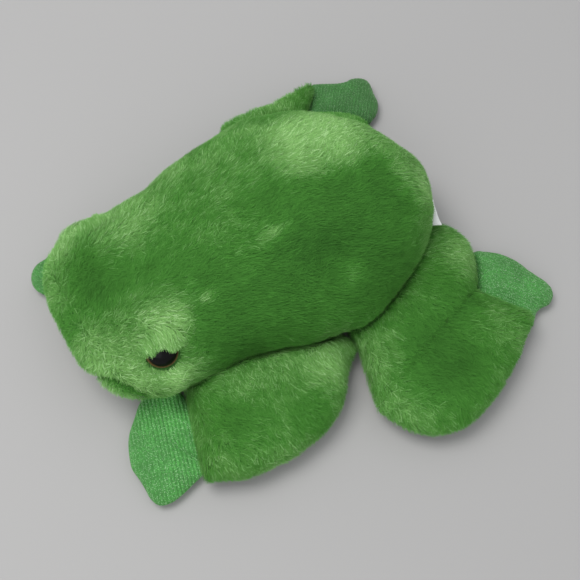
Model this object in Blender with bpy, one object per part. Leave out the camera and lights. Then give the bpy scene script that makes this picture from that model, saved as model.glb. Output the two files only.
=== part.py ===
"""Plush frog that lies on its belly, as separate covers, fillings, pads, eyes and label.

Metres, +Z up. The frog looks along -Y and its left side is +X. The origin lies on the
floor under the belly. Every stuffed form is a pillow: a widest line seen from above, a
rise above that line and a fall below it. An upper cover and an under cover are shells of
that pillow and a filling fits inside them. Limbs are cut where the body presses on them.
"""

import math
from dataclasses import dataclass, replace
from typing import Callable

import bmesh
import bpy
import numpy as np
from mathutils import Vector

# Body and head, from the belly's origin
REAR_LENGTH = 0.102                 # origin to rump
NECK_DISTANCE = 0.067               # origin to neck line
HEAD_LENGTH = 0.064                 # neck line to nose
BODY_WIDTH = 0.151
NECK_WIDTH = 0.120
HEAD_WIDTH = 0.124
SEAM_HEIGHT = 0.028                 # side seam of body and head above the floor
BODY_CROWN_HEIGHT = 0.044           # rise of the back above the side seam
NECK_CROWN_HEIGHT = 0.033
HEAD_CROWN_HEIGHT = 0.030
HEAD_SWAY_DISTANCE = 0.006          # how far the nose lies to the frog's right of the body's middle
BROW_HEIGHT = 0.010                 # extra rise of the brow over each eye
BROW_SPACING_SHARE = 0.452          # of the head's width
BROW_RADIUS = 0.012
SOCKET_DEPTH = 0.010                # dip outside each brow, where the eye sits
SOCKET_SPACING_SHARE = 0.855        # of the head's width
SOCKET_RADIUS = 0.010
LIP_SETBACK_DEPTH = 0.0025          # how far the chin lies behind the upper lip

# Covers
COVER_THICKNESS = 0.005             # backing and pile together
SEAM_GAP = 0.0004                   # between pieces that touch
FLOOR_CUT_DEPTH = 0.0005            # depth of the flat underside
CUT_OVERRUN_LENGTH = 0.040          # how far cutting solids run past what they cut

# Eyes
EYE_SPACING_SHARE = 0.766           # of the head's width
EYE_DISTANCE = 0.0876               # origin to eye centres
EYE_DIAMETER = 0.016
EYE_DOME_HEIGHT = 0.0055
EYE_SEAT_DEPTH = 0.0012
EYE_STEM_DIAMETER = 0.0045
EYE_STEM_LENGTH = 0.0120
EYE_FORWARD_ANGLE = math.radians(12.0)
EYE_RISE_ANGLE = math.radians(38.0)
WASHER_DIAMETER = 0.015
WASHER_THICKNESS = 0.0016
WASHER_DEPTH = 0.0075               # eye seat to washer
EYE_CLEARANCE = 0.0004

# Arms
ARM_SPAN = 0.097                    # along the shoulder line
ARM_FRONT_DISTANCE = 0.092          # origin to the front end of the shoulder line
ARM_SPREAD = {"left": 0.050, "right": 0.005}   # out from the shoulder line
ARM_SEAM_HEIGHT = 0.011
ARM_CROWN_HEIGHT = {"left": 0.016, "right": 0.012}
SHOULDER_SLANT = math.radians(8.6)
WRIST_SETBACK_DISTANCE = 0.0052     # wrist line behind the front end of the shoulder line
WRIST_SLANT = math.radians(-6.7)
HAND_SPREAD = {"left": 0.0425, "right": 0.009}
HAND_LENGTH = {"left": 0.036, "right": 0.041}
HAND_THICKNESS = 0.010
WRIST_PIVOT_SHARE = {"left": 0.5, "right": 1.0}   # left hand folds up, right hand swings out on the floor

# Legs
LEG_SPAN = 0.090                    # along the hip line, from its front end
HIP_FRONT_DISTANCE = 0.0185         # origin back to the front end of the hip line
LEG_SPREAD = 0.074
LEG_SEAM_HEIGHT = 0.012
LEG_CROWN_HEIGHT = 0.015
HIP_SLANT = math.radians(-26.6)
FOOT_THICKNESS = 0.011
FOOT_CLEARANCE = 0.0012
LEG_TUCK_SHARES = {"left": (1.0, 1.0), "right": (0.20, 0.80)}
LEG_FRONT_SHARE = {"left": 1.0, "right": 0.35}
FOOT_TUCK_SHARES = {"left": (1.0, 1.0), "right": (0.55, 0.80)}
ANKLE_FORWARD_SHARE = {"left": 0.0, "right": 0.13}

# How limbs lie under the side of the body
LIMB_TUCK_DEPTH = 0.026             # how far a limb's pillow runs in past its hinge line
TUCK_DEPTH = 0.012                  # how far a limb reaches in under the side seam
HINGE_CLEARANCE = 0.0006

# Label at the rump
LABEL_WIDTH = 0.018
LABEL_LENGTH = 0.0045
LABEL_THICKNESS = 0.0008
LABEL_OFFSET = 0.033

# Fineness of the forms
BODY_SEGMENTS = 56
BODY_RINGS = 8
LIMB_SEGMENTS = 30
LIMB_RINGS = 5
PAD_SEGMENTS = 30
PAD_RINGS = 4
EYE_SEGMENTS = 20

GREEN_PLUSH = (0.060, 0.210, 0.035)
GREEN_KNIT = (0.085, 0.320, 0.110)
WHITE_FILLING = (0.850, 0.850, 0.830)
DARK_EYE = (0.020, 0.012, 0.006)
WHITE_WASHER = (0.800, 0.800, 0.780)
WHITE_LABEL = (0.880, 0.880, 0.860)

SIDES = {"left": 1.0, "right": -1.0}
LEAST_SQUARENESS_SHARE = 0.4

# Half of the head's outline: share of half the head width, share of the head length
HEAD_OUTLINE_SHARES = ((0.0, 1.0), (0.34, 0.975), (0.60, 0.90), (0.79, 0.76), (0.93, 0.58), (0.99, 0.38))
# Half of the body's outline ahead of the origin: share of half the width, share of the neck reach
CHEST_OUTLINE_SHARES = ((0.80, 0.73), (0.87, 0.43), (0.948, 0.15))
# Half of the body's outline behind the origin: share of half the width, share of the body reach
RUMP_OUTLINE_SHARES = (
    (1.0, 0.15), (0.985, 0.27), (0.935, 0.38), (0.857, 0.52), (0.753, 0.65),
    (0.623, 0.765), (0.468, 0.863), (0.286, 0.941), (0.10, 0.99),
)
# Limb outlines: share out from the hinge line (of the spread, or of the tuck where it is
# negative), share along it
ARM_OUTLINE_SHARES = (
    (0.73, -0.07), (0.90, 0.04), (0.99, 0.20), (0.97, 0.41), (0.92, 0.55), (0.74, 0.77),
    (0.47, 0.90), (0.19, 0.98), (0.0, 1.01), (-0.55, 0.92), (-0.95, 0.66), (-1.0, 0.32),
    (-0.90, 0.04), (-0.45, -0.08), (0.28, -0.11),
)
HAND_OUTLINE_SHARES = (
    (0.86, 0.45), (0.92, -0.05), (0.96, -0.42), (1.06, -0.66), (1.03, -0.84), (0.84, -0.92), (0.64, -0.90),
    (0.47, -0.93), (0.25, -0.93), (0.07, -0.87), (-0.18, -0.77), (-0.43, -0.54), (-0.60, -0.20), (-0.62, 0.45),
)
THIGH_OUTLINE_SHARES = (
    (-0.30, -0.08), (0.01, -0.17), (0.15, -0.26), (0.32, -0.34), (0.46, -0.27), (0.49, 0.02), (0.54, 0.36),
    (0.48, 0.66), (0.37, 0.83), (0.26, 0.95), (0.11, 1.03), (-0.25, 1.03), (-0.95, 0.88), (-1.0, 0.60),
    (-1.0, 0.30), (-0.85, 0.05),
)
SHANK_OUTLINE_SHARES = (
    (0.20, -0.30), (0.45, -0.37), (0.65, -0.34), (0.80, -0.26), (0.92, -0.13), (0.985, 0.08), (1.0, 0.29),
    (0.975, 0.57), (0.92, 0.76), (0.78, 0.85), (0.45, 0.82), (0.27, 0.66), (0.22, 0.30), (0.20, -0.08),
)
FOOT_OUTLINE_SHARES = (
    (0.93, 0.60), (0.925, 0.83), (0.955, 0.92), (0.935, 1.00), (0.88, 1.035), (0.72, 1.075), (0.58, 1.095),
    (0.43, 1.08), (0.33, 1.045), (0.25, 0.99), (0.27, 0.86), (0.36, 0.62),
)
KNEE_LINE_SHARES = ((0.30, -0.32), (0.44, 0.71))
ANKLE_LINE_SHARES = ((0.377, 0.708), (0.91, 0.762))


@dataclass
class Pillow:
    """A stuffed form: its widest line, the point its rings close on, and its rises."""

    outline: np.ndarray
    centre: np.ndarray
    seam_height: float
    crown: Callable
    top_power: float = 3.0
    top_root: float = 2.0
    under_power: float = 2.5
    under_root: float = 2.0
    floor: float = 0.0


def clear_scene():
    for thing in list(bpy.data.objects):
        bpy.data.objects.remove(thing, do_unlink=True)


def plain_material(name, colour, roughness, metallic=0.0):
    material = bpy.data.materials.new(name)
    material.use_nodes = True
    shader = material.node_tree.nodes["Principled BSDF"]
    shader.inputs["Base Color"].default_value = (*colour, 1.0)
    shader.inputs["Roughness"].default_value = roughness
    shader.inputs["Metallic"].default_value = metallic
    material.diffuse_color = (*colour, 1.0)
    return material


def smooth_loop(points, count):
    """A closed curve through the points (Catmull-Rom), cut into even steps."""
    points = np.asarray(points, dtype=float)
    steps = 16
    before, after, beyond = np.roll(points, 1, 0), np.roll(points, -1, 0), np.roll(points, -2, 0)
    fine = []
    for step in range(steps):
        t = step / steps
        fine.append(
            0.5 * (2 * points + (after - before) * t + (2 * before - 5 * points + 4 * after - beyond) * t**2
                   + (3 * points - before - 3 * after + beyond) * t**3)
        )
    fine = np.stack(fine, axis=1).reshape(-1, 2)
    closed = np.vstack([fine, fine[:1]])
    walked = np.concatenate([[0.0], np.cumsum(np.linalg.norm(np.diff(closed, axis=0), axis=1))])
    places = np.linspace(0.0, walked[-1], count, endpoint=False)
    return np.column_stack([np.interp(places, walked, closed[:, axis]) for axis in range(2)])


def signed_area(loop):
    following = np.roll(loop, -1, 0)
    return 0.5 * np.sum(loop[:, 0] * following[:, 1] - following[:, 0] * loop[:, 1])


def grow_loop(loop, distance):
    """The loop moved outwards by a distance, or inwards where it is negative."""
    along = np.roll(loop, -1, 0) - np.roll(loop, 1, 0)
    along /= np.linalg.norm(along, axis=1, keepdims=True)
    outward = np.column_stack([along[:, 1], -along[:, 0]]) * math.copysign(1.0, signed_area(loop))
    return loop + outward * distance


def inset_loop(form, inset):
    """The widest line drawn towards the middle until it lies inset inside itself.

    It never passes half way to the middle, so that narrow ends stay open.
    """
    spoke = form.outline - form.centre
    reach = np.linalg.norm(spoke, axis=1, keepdims=True)
    outward = grow_loop(form.outline, 1.0) - form.outline
    squareness = np.sum(outward * spoke, axis=1, keepdims=True) / reach
    drawn = np.maximum(reach - inset / np.maximum(squareness, LEAST_SQUARENESS_SHARE), 0.5 * reach)
    return form.centre + spoke * drawn / reach


def pillow_surface(form, inset, upper, rings):
    """Rings of one face of the pillow from its widest line to its middle, moved in by inset."""
    loop = inset_loop(form, inset)
    surface = []
    for ring in range(rings):
        share = math.sin(0.5 * math.pi * (rings - ring) / rings)
        place = form.centre + (loop - form.centre) * share
        power, root = (form.top_power, form.top_root) if upper else (form.under_power, form.under_root)
        fall = max(0.0, 1.0 - share**power) ** (1.0 / root)
        if upper:
            height = form.seam_height + (form.crown(place[:, 0], place[:, 1]) - inset) * fall
        else:
            height = form.seam_height - (form.seam_height - form.floor + FLOOR_CUT_DEPTH - inset) * fall
            height = np.full(len(place), max(height, form.floor + inset))
        surface.append(np.column_stack([place, height]))
    middle_x, middle_y = form.centre
    if upper:
        middle = form.seam_height + float(form.crown(middle_x, middle_y)) - inset
    else:
        middle = form.floor + inset
    return surface, (middle_x, middle_y, middle)


def surface_height(form, x, y):
    """Height of the pillow's upper face over one place in plan."""
    away = form.outline - form.centre
    turns = np.arctan2(away[:, 1], away[:, 0])
    order = np.argsort(turns)
    reach = np.interp(
        math.atan2(y - form.centre[1], x - form.centre[0]),
        turns[order], np.linalg.norm(away, axis=1)[order], period=2 * math.pi,
    )
    share = math.hypot(x - form.centre[0], y - form.centre[1]) / reach
    fall = max(0.0, 1.0 - share**form.top_power) ** (1.0 / form.top_root)
    return form.seam_height + float(form.crown(x, y)) * fall


class MeshMaker:
    """Collects rings of points and the faces between them, then makes one mesh."""

    def __init__(self):
        self.mesh = bmesh.new()

    def ring(self, points):
        return [self.mesh.verts.new(point) for point in points]

    def bridge(self, first, second):
        count = len(first)
        for index in range(count):
            after = (index + 1) % count
            self.mesh.faces.new((first[index], first[after], second[after], second[index]))

    def fan(self, ring, middle):
        tip = self.mesh.verts.new(middle)
        for index, corner in enumerate(ring):
            self.mesh.faces.new((corner, ring[(index + 1) % len(ring)], tip))

    def dome(self, surface, middle):
        """Faces over a surface's rings; gives back its first ring."""
        rings = [self.ring(points) for points in surface]
        for lower, upper in zip(rings, rings[1:]):
            self.bridge(lower, upper)
        self.fan(rings[-1], middle)
        return rings[0]

    def finish(self, name, origin):
        bmesh.ops.translate(self.mesh, verts=self.mesh.verts, vec=-Vector(origin))
        bmesh.ops.recalc_face_normals(self.mesh, faces=self.mesh.faces)
        data = bpy.data.meshes.new(name)
        self.mesh.to_mesh(data)
        self.mesh.free()
        return data


def place_object(name, data, joint=None, material=None):
    thing = bpy.data.objects.new(name, data)
    bpy.context.scene.collection.objects.link(thing)
    if joint is not None:
        thing.parent = joint
    if material is not None:
        data.materials.append(material)
        data.shade_smooth()
    return thing


def joint_empty(name, place, parent=None):
    """An empty on a hinge line; pieces that turn there are its children."""
    empty = bpy.data.objects.new(name, None)
    bpy.context.scene.collection.objects.link(empty)
    empty.location = Vector(place)
    if parent is not None:
        empty.parent = parent
        empty.location = Vector(place) - world_place(parent)
    return empty


def world_place(empty):
    place = Vector(empty.location)
    while empty.parent is not None:
        empty = empty.parent
        place += empty.location
    return place


def origin_of(joint):
    return Vector((0.0, 0.0, 0.0)) if joint is None else world_place(joint)


def half_cover(name, form, upper, rings, joint, material):
    """A shell over one face of the pillow, with a flat rim at the seam."""
    maker = MeshMaker()
    outer, outer_middle = pillow_surface(form, 0.0, upper, rings)
    inner, inner_middle = pillow_surface(form, COVER_THICKNESS, upper, filling_rings(rings))
    rim = form.seam_height + (0.5 * SEAM_GAP if upper else -0.5 * SEAM_GAP)
    limit = np.maximum if upper else np.minimum
    for surface in (outer, inner):
        for ring in surface:
            ring[:, 2] = limit(ring[:, 2], rim)
    maker.bridge(maker.dome(outer, outer_middle), maker.dome(inner, inner_middle))
    return place_object(name, maker.finish(name, origin_of(joint)), joint, material)


def filling_rings(rings):
    """Rings of a cover's inside and of its filling, alike so that their facets lie side by side."""
    return rings // 2 + 1


def closed_pillow(name, form, inset, rings, joint, material):
    """The whole pillow, moved in by inset, as one closed solid."""
    maker = MeshMaker()
    upper, upper_middle = pillow_surface(form, inset, True, rings)
    under, under_middle = pillow_surface(form, inset, False, rings)
    widest = maker.dome(upper, upper_middle)
    next_ring = maker.dome(under[1:], under_middle)
    maker.bridge(widest, next_ring)
    return place_object(name, maker.finish(name, origin_of(joint)), joint, material)


def as_cutter(thing):
    thing.hide_render = True
    thing.display_type = "WIRE"
    return thing


def prism_cutter(name, loop, low, high):
    """A cutting solid with a plan outline and upright walls."""
    maker = MeshMaker()
    foot = maker.ring([(x, y, low) for x, y in loop])
    head = maker.ring([(x, y, high) for x, y in loop])
    maker.bridge(foot, head)
    maker.mesh.faces.new(foot)
    maker.mesh.faces.new(head)
    return as_cutter(place_object(name, maker.finish(name, (0.0, 0.0, 0.0))))


def half_space_cutter(name, start, end, keep_towards, gap):
    """A cutting box whose one upright face follows the line from start to end.

    The side of the line that keep_towards lies on stays, less half the gap.
    """
    start, end, keep = (np.asarray(point, dtype=float) for point in (start, end, keep_towards))
    along = (end - start) / np.linalg.norm(end - start)
    away = np.array([along[1], -along[0]])
    if np.dot(keep - start, away) > 0:
        away = -away
    near = (start + end) / 2 - away * 0.5 * gap
    reach = CUT_OVERRUN_LENGTH + BODY_WIDTH
    corners = [near - along * reach, near + along * reach]
    corners += [corners[1] + away * reach, corners[0] + away * reach]
    top = CUT_OVERRUN_LENGTH + BODY_CROWN_HEIGHT + SEAM_HEIGHT
    return prism_cutter(name, corners, -CUT_OVERRUN_LENGTH, top)


def cut(thing, *cutters):
    for cutter in cutters:
        modifier = thing.modifiers.new(cutter.name, "BOOLEAN")
        modifier.operation = "DIFFERENCE"
        modifier.solver = "EXACT"
        modifier.object = cutter
    return thing


def lathe_mesh(name, profile, segments):
    """A turned solid about Z; the profile runs from its top pole to its bottom pole."""
    maker = MeshMaker()
    rings = []
    for radius, height in profile[1:-1]:
        turns = np.arange(segments) * 2 * math.pi / segments
        rings.append(maker.ring(np.column_stack(
            [radius * np.cos(turns), radius * np.sin(turns), np.full(segments, height)])))
    for first, second in zip(rings, rings[1:]):
        maker.bridge(first, second)
    maker.fan(rings[0], (0.0, 0.0, profile[0][1]))
    maker.fan(rings[-1], (0.0, 0.0, profile[-1][1]))
    return maker.finish(name, (0.0, 0.0, 0.0))


# Body and head

def body_half_outline():
    """Points down the frog's left side, nose to rump, of the widest line seen from above."""
    points = [(x * HEAD_WIDTH / 2, -NECK_DISTANCE - y * HEAD_LENGTH) for x, y in HEAD_OUTLINE_SHARES]
    points.append((NECK_WIDTH / 2, -NECK_DISTANCE))
    points += [(x * BODY_WIDTH / 2, -y * NECK_DISTANCE) for x, y in CHEST_OUTLINE_SHARES]
    points += [(x * BODY_WIDTH / 2, y * REAR_LENGTH) for x, y in RUMP_OUTLINE_SHARES]
    points.append((0.0, REAR_LENGTH))
    return points


def head_sway(y):
    """How far the middle of head and neck lies to one side, eased in from behind the neck."""
    share = np.clip((-y - 0.5 * NECK_DISTANCE) / (0.5 * NECK_DISTANCE + HEAD_LENGTH), 0.0, 1.0)
    return -HEAD_SWAY_DISTANCE * share * share * (3 - 2 * share)


def body_crown(x, y):
    """Rise above the side seam: high over the back, lower at neck and head, with two brows."""
    stations = (-NECK_DISTANCE - HEAD_LENGTH, -EYE_DISTANCE, -NECK_DISTANCE, 0.0, REAR_LENGTH)
    rises = (HEAD_CROWN_HEIGHT, HEAD_CROWN_HEIGHT, NECK_CROWN_HEIGHT, BODY_CROWN_HEIGHT, BODY_CROWN_HEIGHT)
    rise = np.zeros_like(np.asarray(y, dtype=float))
    for start, end, low, high in zip(stations, stations[1:], rises, rises[1:]):
        share = np.clip((y - start) / (end - start), 0.0, 1.0)
        rise = rise + (high - low) * share * share * (3 - 2 * share)
    rise = rise + rises[0]
    rise = rise + BROW_HEIGHT * bump(x, y, BROW_SPACING_SHARE * HEAD_WIDTH / 2, BROW_RADIUS)
    return rise - SOCKET_DEPTH * bump(x, y, SOCKET_SPACING_SHARE * HEAD_WIDTH / 2, SOCKET_RADIUS)


def bump(x, y, offset, radius):
    """A round swelling on each side at an offset from the middle, level with the eyes."""
    distance = (np.abs(x - head_sway(y)) - offset) ** 2 + (y + EYE_DISTANCE) ** 2
    return np.exp(-0.5 * distance / radius**2)


def body_pillow():
    left = body_half_outline()
    right = [(-x, y) for x, y in reversed(left[1:-1])]
    outline = smooth_loop([(x + head_sway(y), y) for x, y in left + right], BODY_SEGMENTS)
    return Pillow(outline, np.array([0.0, 0.0]), SEAM_HEIGHT, body_crown)


def chin_pillow(form):
    """The under half of the head, drawn in a little behind the upper lip."""
    outline = form.outline.copy()
    ahead = np.clip((-outline[:, 1] - NECK_DISTANCE) / HEAD_LENGTH, 0.0, 1.0)
    inward = form.centre - outline
    inward /= np.linalg.norm(inward, axis=1, keepdims=True)
    outline += inward * (LIP_SETBACK_DEPTH * ahead * (2 - ahead))[:, None]
    return replace(form, outline=outline)


def build_body(form):
    """Back, belly, head and chin covers with their fillings, parted at the neck line."""
    plush = plain_material("body_plush", GREEN_PLUSH, 0.95)
    head_plush = plain_material("head_plush", GREEN_PLUSH, 0.95)
    filling = plain_material("body_filling", WHITE_FILLING, 1.0)
    neck = [(-BODY_WIDTH, -NECK_DISTANCE), (BODY_WIDTH, -NECK_DISTANCE)]
    nose = (0.0, -NECK_DISTANCE - HEAD_LENGTH)
    behind_neck = half_space_cutter("behind_neck", *neck, nose, SEAM_GAP)
    before_neck = half_space_cutter("before_neck", *neck, (0.0, REAR_LENGTH), SEAM_GAP)
    inset = COVER_THICKNESS + SEAM_GAP
    chin = chin_pillow(form)
    pieces = {
        "back_cover": half_cover("back_cover", form, True, BODY_RINGS, None, plush),
        "belly_cover": half_cover("belly_cover", form, False, BODY_RINGS, None, plush),
        "body_filling": closed_pillow("body_filling", form, inset, filling_rings(BODY_RINGS), None, filling),
        "head_cover": half_cover("head_cover", form, True, BODY_RINGS, None, head_plush),
        "chin_cover": half_cover("chin_cover", chin, False, BODY_RINGS, None, head_plush),
        "head_filling": closed_pillow("head_filling", chin, inset, filling_rings(BODY_RINGS), None, filling),
    }
    for name in ("back_cover", "belly_cover", "body_filling"):
        cut(pieces[name], before_neck)
    for name in ("head_cover", "chin_cover", "head_filling"):
        cut(pieces[name], behind_neck)
    return pieces


def build_eyes(form, head_cover, head_filling):
    """Domed eyes on stems, each held by a washer behind the head's cover."""
    eye_radius, stem_radius, washer_radius = EYE_DIAMETER / 2, EYE_STEM_DIAMETER / 2, WASHER_DIAMETER / 2
    washer_back = WASHER_DEPTH + WASHER_THICKNESS
    turns = [0.5 * math.pi * step / 4 for step in range(1, 5)]
    dome = [(eye_radius * math.sin(turn), EYE_DOME_HEIGHT * math.cos(turn)) for turn in turns]
    eye_profile = [(0.0, EYE_DOME_HEIGHT), *dome, (eye_radius, -0.5 * EYE_SEAT_DEPTH)]
    eye_profile += [(stem_radius, -0.5 * EYE_SEAT_DEPTH), (stem_radius, -EYE_STEM_LENGTH)]
    eye_profile.append((0.0, -EYE_STEM_LENGTH))
    wide, thin, pocket = (radius + EYE_CLEARANCE for radius in (eye_radius, stem_radius, washer_radius))
    seat = -0.5 * EYE_SEAT_DEPTH - EYE_CLEARANCE
    pocket_profile = [
        (0.0, CUT_OVERRUN_LENGTH), (wide, CUT_OVERRUN_LENGTH), (wide, seat), (thin, seat),
        (thin, EYE_CLEARANCE - WASHER_DEPTH), (pocket, EYE_CLEARANCE - WASHER_DEPTH),
        (pocket, -washer_back - EYE_CLEARANCE), (thin, -washer_back - EYE_CLEARANCE),
        (thin, -EYE_STEM_LENGTH - EYE_CLEARANCE), (0.0, -EYE_STEM_LENGTH - EYE_CLEARANCE),
    ]
    for side, sign in SIDES.items():
        x = sign * EYE_SPACING_SHARE * HEAD_WIDTH / 2 + head_sway(-EYE_DISTANCE)
        surface = Vector((x, -EYE_DISTANCE, surface_height(form, x, -EYE_DISTANCE)))
        flat = math.cos(EYE_RISE_ANGLE)
        axis = Vector((sign * flat * math.cos(EYE_FORWARD_ANGLE), -flat * math.sin(EYE_FORWARD_ANGLE),
                       math.sin(EYE_RISE_ANGLE)))
        place = surface - axis * EYE_SEAT_DEPTH
        turned = axis.to_track_quat("Z", "Y")
        eye = place_object(f"eye_{side}", lathe_mesh("eye", eye_profile, EYE_SEGMENTS), None,
                           plain_material(f"eye_{side}", DARK_EYE, 0.08))
        washer = place_object(f"eye_washer_{side}", washer_mesh(thin, washer_radius), None,
                              plain_material(f"eye_washer_{side}", WHITE_WASHER, 0.5))
        pocket_cutter = as_cutter(place_object(f"eye_pocket_{side}",
                                               lathe_mesh("eye_pocket", pocket_profile, EYE_SEGMENTS)))
        for thing in (eye, washer, pocket_cutter):
            thing.location = place
            thing.rotation_mode = "QUATERNION"
            thing.rotation_quaternion = turned
        cut(head_cover, pocket_cutter)
        cut(head_filling, pocket_cutter)


def washer_mesh(bore_radius, outer_radius):
    """A flat ring behind the cover, open in the middle for the eye's stem."""
    maker = MeshMaker()
    turns = np.arange(EYE_SEGMENTS) * 2 * math.pi / EYE_SEGMENTS
    rings = []
    corners = (
        (bore_radius, -WASHER_DEPTH), (outer_radius, -WASHER_DEPTH),
        (outer_radius, -WASHER_DEPTH - WASHER_THICKNESS), (bore_radius, -WASHER_DEPTH - WASHER_THICKNESS),
    )
    for radius, height in corners:
        rings.append(maker.ring(np.column_stack(
            [radius * np.cos(turns), radius * np.sin(turns), np.full(EYE_SEGMENTS, height)])))
    for first, second in zip(rings, rings[1:] + rings[:1]):
        maker.bridge(first, second)
    return maker.finish("washer", (0.0, 0.0, 0.0))


def build_label(form):
    """A small blank label that stands out of the side seam at the rump."""
    rear = form.outline[form.outline[:, 1] > 0.5 * REAR_LENGTH]
    nearest = rear[np.argmin(np.abs(rear[:, 0] - LABEL_OFFSET))]
    index = int(np.argmin(np.linalg.norm(form.outline - nearest, axis=1)))
    along = form.outline[(index + 1) % BODY_SEGMENTS] - form.outline[index - 1]
    along /= np.linalg.norm(along)
    outward = np.array([along[1], -along[0]])
    if np.dot(outward, nearest - form.centre) < 0:
        outward = -outward
    clear = SEAM_GAP + sagitta(form.outline, index, along, outward)
    start = nearest + outward * clear
    corners = [start - along * LABEL_WIDTH / 2, start + along * LABEL_WIDTH / 2]
    corners += [corners[1] + outward * LABEL_LENGTH, corners[0] + outward * LABEL_LENGTH]
    maker = MeshMaker()
    rings = [maker.ring([(x, y, z) for x, y in corners])
             for z in (SEAM_HEIGHT - LABEL_THICKNESS / 2, SEAM_HEIGHT + LABEL_THICKNESS / 2)]
    maker.bridge(*rings)
    for ring in rings:
        maker.mesh.faces.new(ring)
    return place_object("sewn_label", maker.finish("sewn_label", (0.0, 0.0, 0.0)), None,
                        plain_material("sewn_label", WHITE_LABEL, 0.8))


def sagitta(outline, index, along, outward):
    """How far the outline stands out past one of its points, within the label's width."""
    away = outline - outline[index]
    near = np.abs(away @ along) < LABEL_WIDTH / 2
    close = np.linalg.norm(away, axis=1) < LABEL_WIDTH
    return max(0.0, float(np.max((away @ outward)[near & close])))


# Limbs

class HingeLine:
    """An upright plane beside the body that a limb folds about, and places measured from it.

    A place is a distance out from the line and a distance along it, front to rear.
    """

    def __init__(self, form, side, slant, front_y, span):
        self.sign = SIDES[side]
        self.outward = np.array([math.cos(slant), -math.sin(slant)])
        self.along = np.array([math.sin(slant), math.cos(slant)])
        beside = form.outline[form.outline[:, 0] > 0]
        beside = beside[(beside[:, 1] > front_y) & (beside[:, 1] < front_y + span)]
        reach = float(np.max(beside @ self.outward)) + HINGE_CLEARANCE
        self.front = np.array([(reach - front_y * self.outward[1]) / self.outward[0], front_y])

    def point(self, out, along):
        x, y = self.front + self.outward * out + self.along * along
        return np.array([self.sign * x, y])

    def hinge_place(self, along):
        x, y = self.point(0.0, along)
        return Vector((x, y, SEAM_HEIGHT))


def limb_pillow(points, seam_height, rise, segments=LIMB_SEGMENTS):
    outline = smooth_loop(points, segments)
    return Pillow(outline, outline.mean(axis=0), seam_height, lambda x, y: rise + 0.0 * np.asarray(y))


def stuffed_limb(name, form, joint, cutters):
    """Upper cover, under cover and filling of one limb, each cut where others press on it."""
    plush = plain_material(f"{name}_plush", GREEN_PLUSH, 0.95)
    filling = plain_material(f"{name}_filling", WHITE_FILLING, 1.0)
    pieces = (
        half_cover(f"{name}_upper_cover", form, True, LIMB_RINGS, joint, plush),
        half_cover(f"{name}_under_cover", form, False, LIMB_RINGS, joint, plush),
        closed_pillow(f"{name}_filling", form, COVER_THICKNESS + SEAM_GAP, filling_rings(LIMB_RINGS), joint,
                      filling),
    )
    for piece in pieces:
        cut(piece, *cutters)


def knit_pad(name, points, thickness, joint, cutters):
    """A flat knitted pad, rounded at its edge."""
    form = limb_pillow(points, thickness / 2, thickness / 2, PAD_SEGMENTS)
    form = replace(form, top_power=6.0, under_power=6.0)
    pad = closed_pillow(name, form, 0.0, PAD_RINGS, joint, plain_material(name, GREEN_KNIT, 0.9))
    cut(pad, *cutters)


def build_arm(side, body, press, skirt, cheek_wall):
    line = HingeLine(body, side, SHOULDER_SLANT, -ARM_FRONT_DISTANCE, ARM_SPAN)

    def place(shares, spread, length):
        out, along = shares
        return line.point(out * (spread if out > 0 else LIMB_TUCK_DEPTH), along * length)

    wrist_slope = math.tan(WRIST_SLANT)
    wrist_start = line.point(-LIMB_TUCK_DEPTH, WRIST_SETBACK_DISTANCE - LIMB_TUCK_DEPTH * wrist_slope)
    wrist_end = line.point(ARM_SPREAD["left"], WRIST_SETBACK_DISTANCE + ARM_SPREAD["left"] * wrist_slope)
    behind_wrist, before_wrist = line.point(0.0, ARM_SPAN), line.point(0.0, -ARM_SPAN)
    arm = limb_pillow([place(shares, ARM_SPREAD[side], ARM_SPAN) for shares in ARM_OUTLINE_SHARES],
                      ARM_SEAM_HEIGHT, ARM_CROWN_HEIGHT[side])
    shoulder = joint_empty(f"shoulder_{side}", line.hinge_place(0.5 * ARM_SPAN))
    arm_end = half_space_cutter(f"arm_end_{side}", wrist_start, wrist_end, behind_wrist, SEAM_GAP)
    stuffed_limb(f"arm_{side}", arm, shoulder, (press, skirt, arm_end))
    hand_end = half_space_cutter(f"hand_end_{side}", wrist_start, wrist_end, before_wrist, SEAM_GAP)
    hand = [place(shares, HAND_SPREAD[side], HAND_LENGTH[side]) for shares in HAND_OUTLINE_SHARES]
    pivot_out = WRIST_PIVOT_SHARE[side] * HAND_SPREAD[side]
    pivot = (*line.point(pivot_out, WRIST_SETBACK_DISTANCE + pivot_out * wrist_slope), HAND_THICKNESS)
    wrist = joint_empty(f"wrist_{side}", pivot, shoulder)
    pressed_by = (cheek_wall,) if side == "left" else (press, skirt)
    knit_pad(f"hand_{side}", hand, HAND_THICKNESS, wrist, (*pressed_by, hand_end))
    report_line(f"shoulder_{side}", line.hinge_place(0.0), line.hinge_place(ARM_SPAN))
    report_line(f"wrist_{side}", pivot, (*wrist_end, HAND_THICKNESS))


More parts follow.
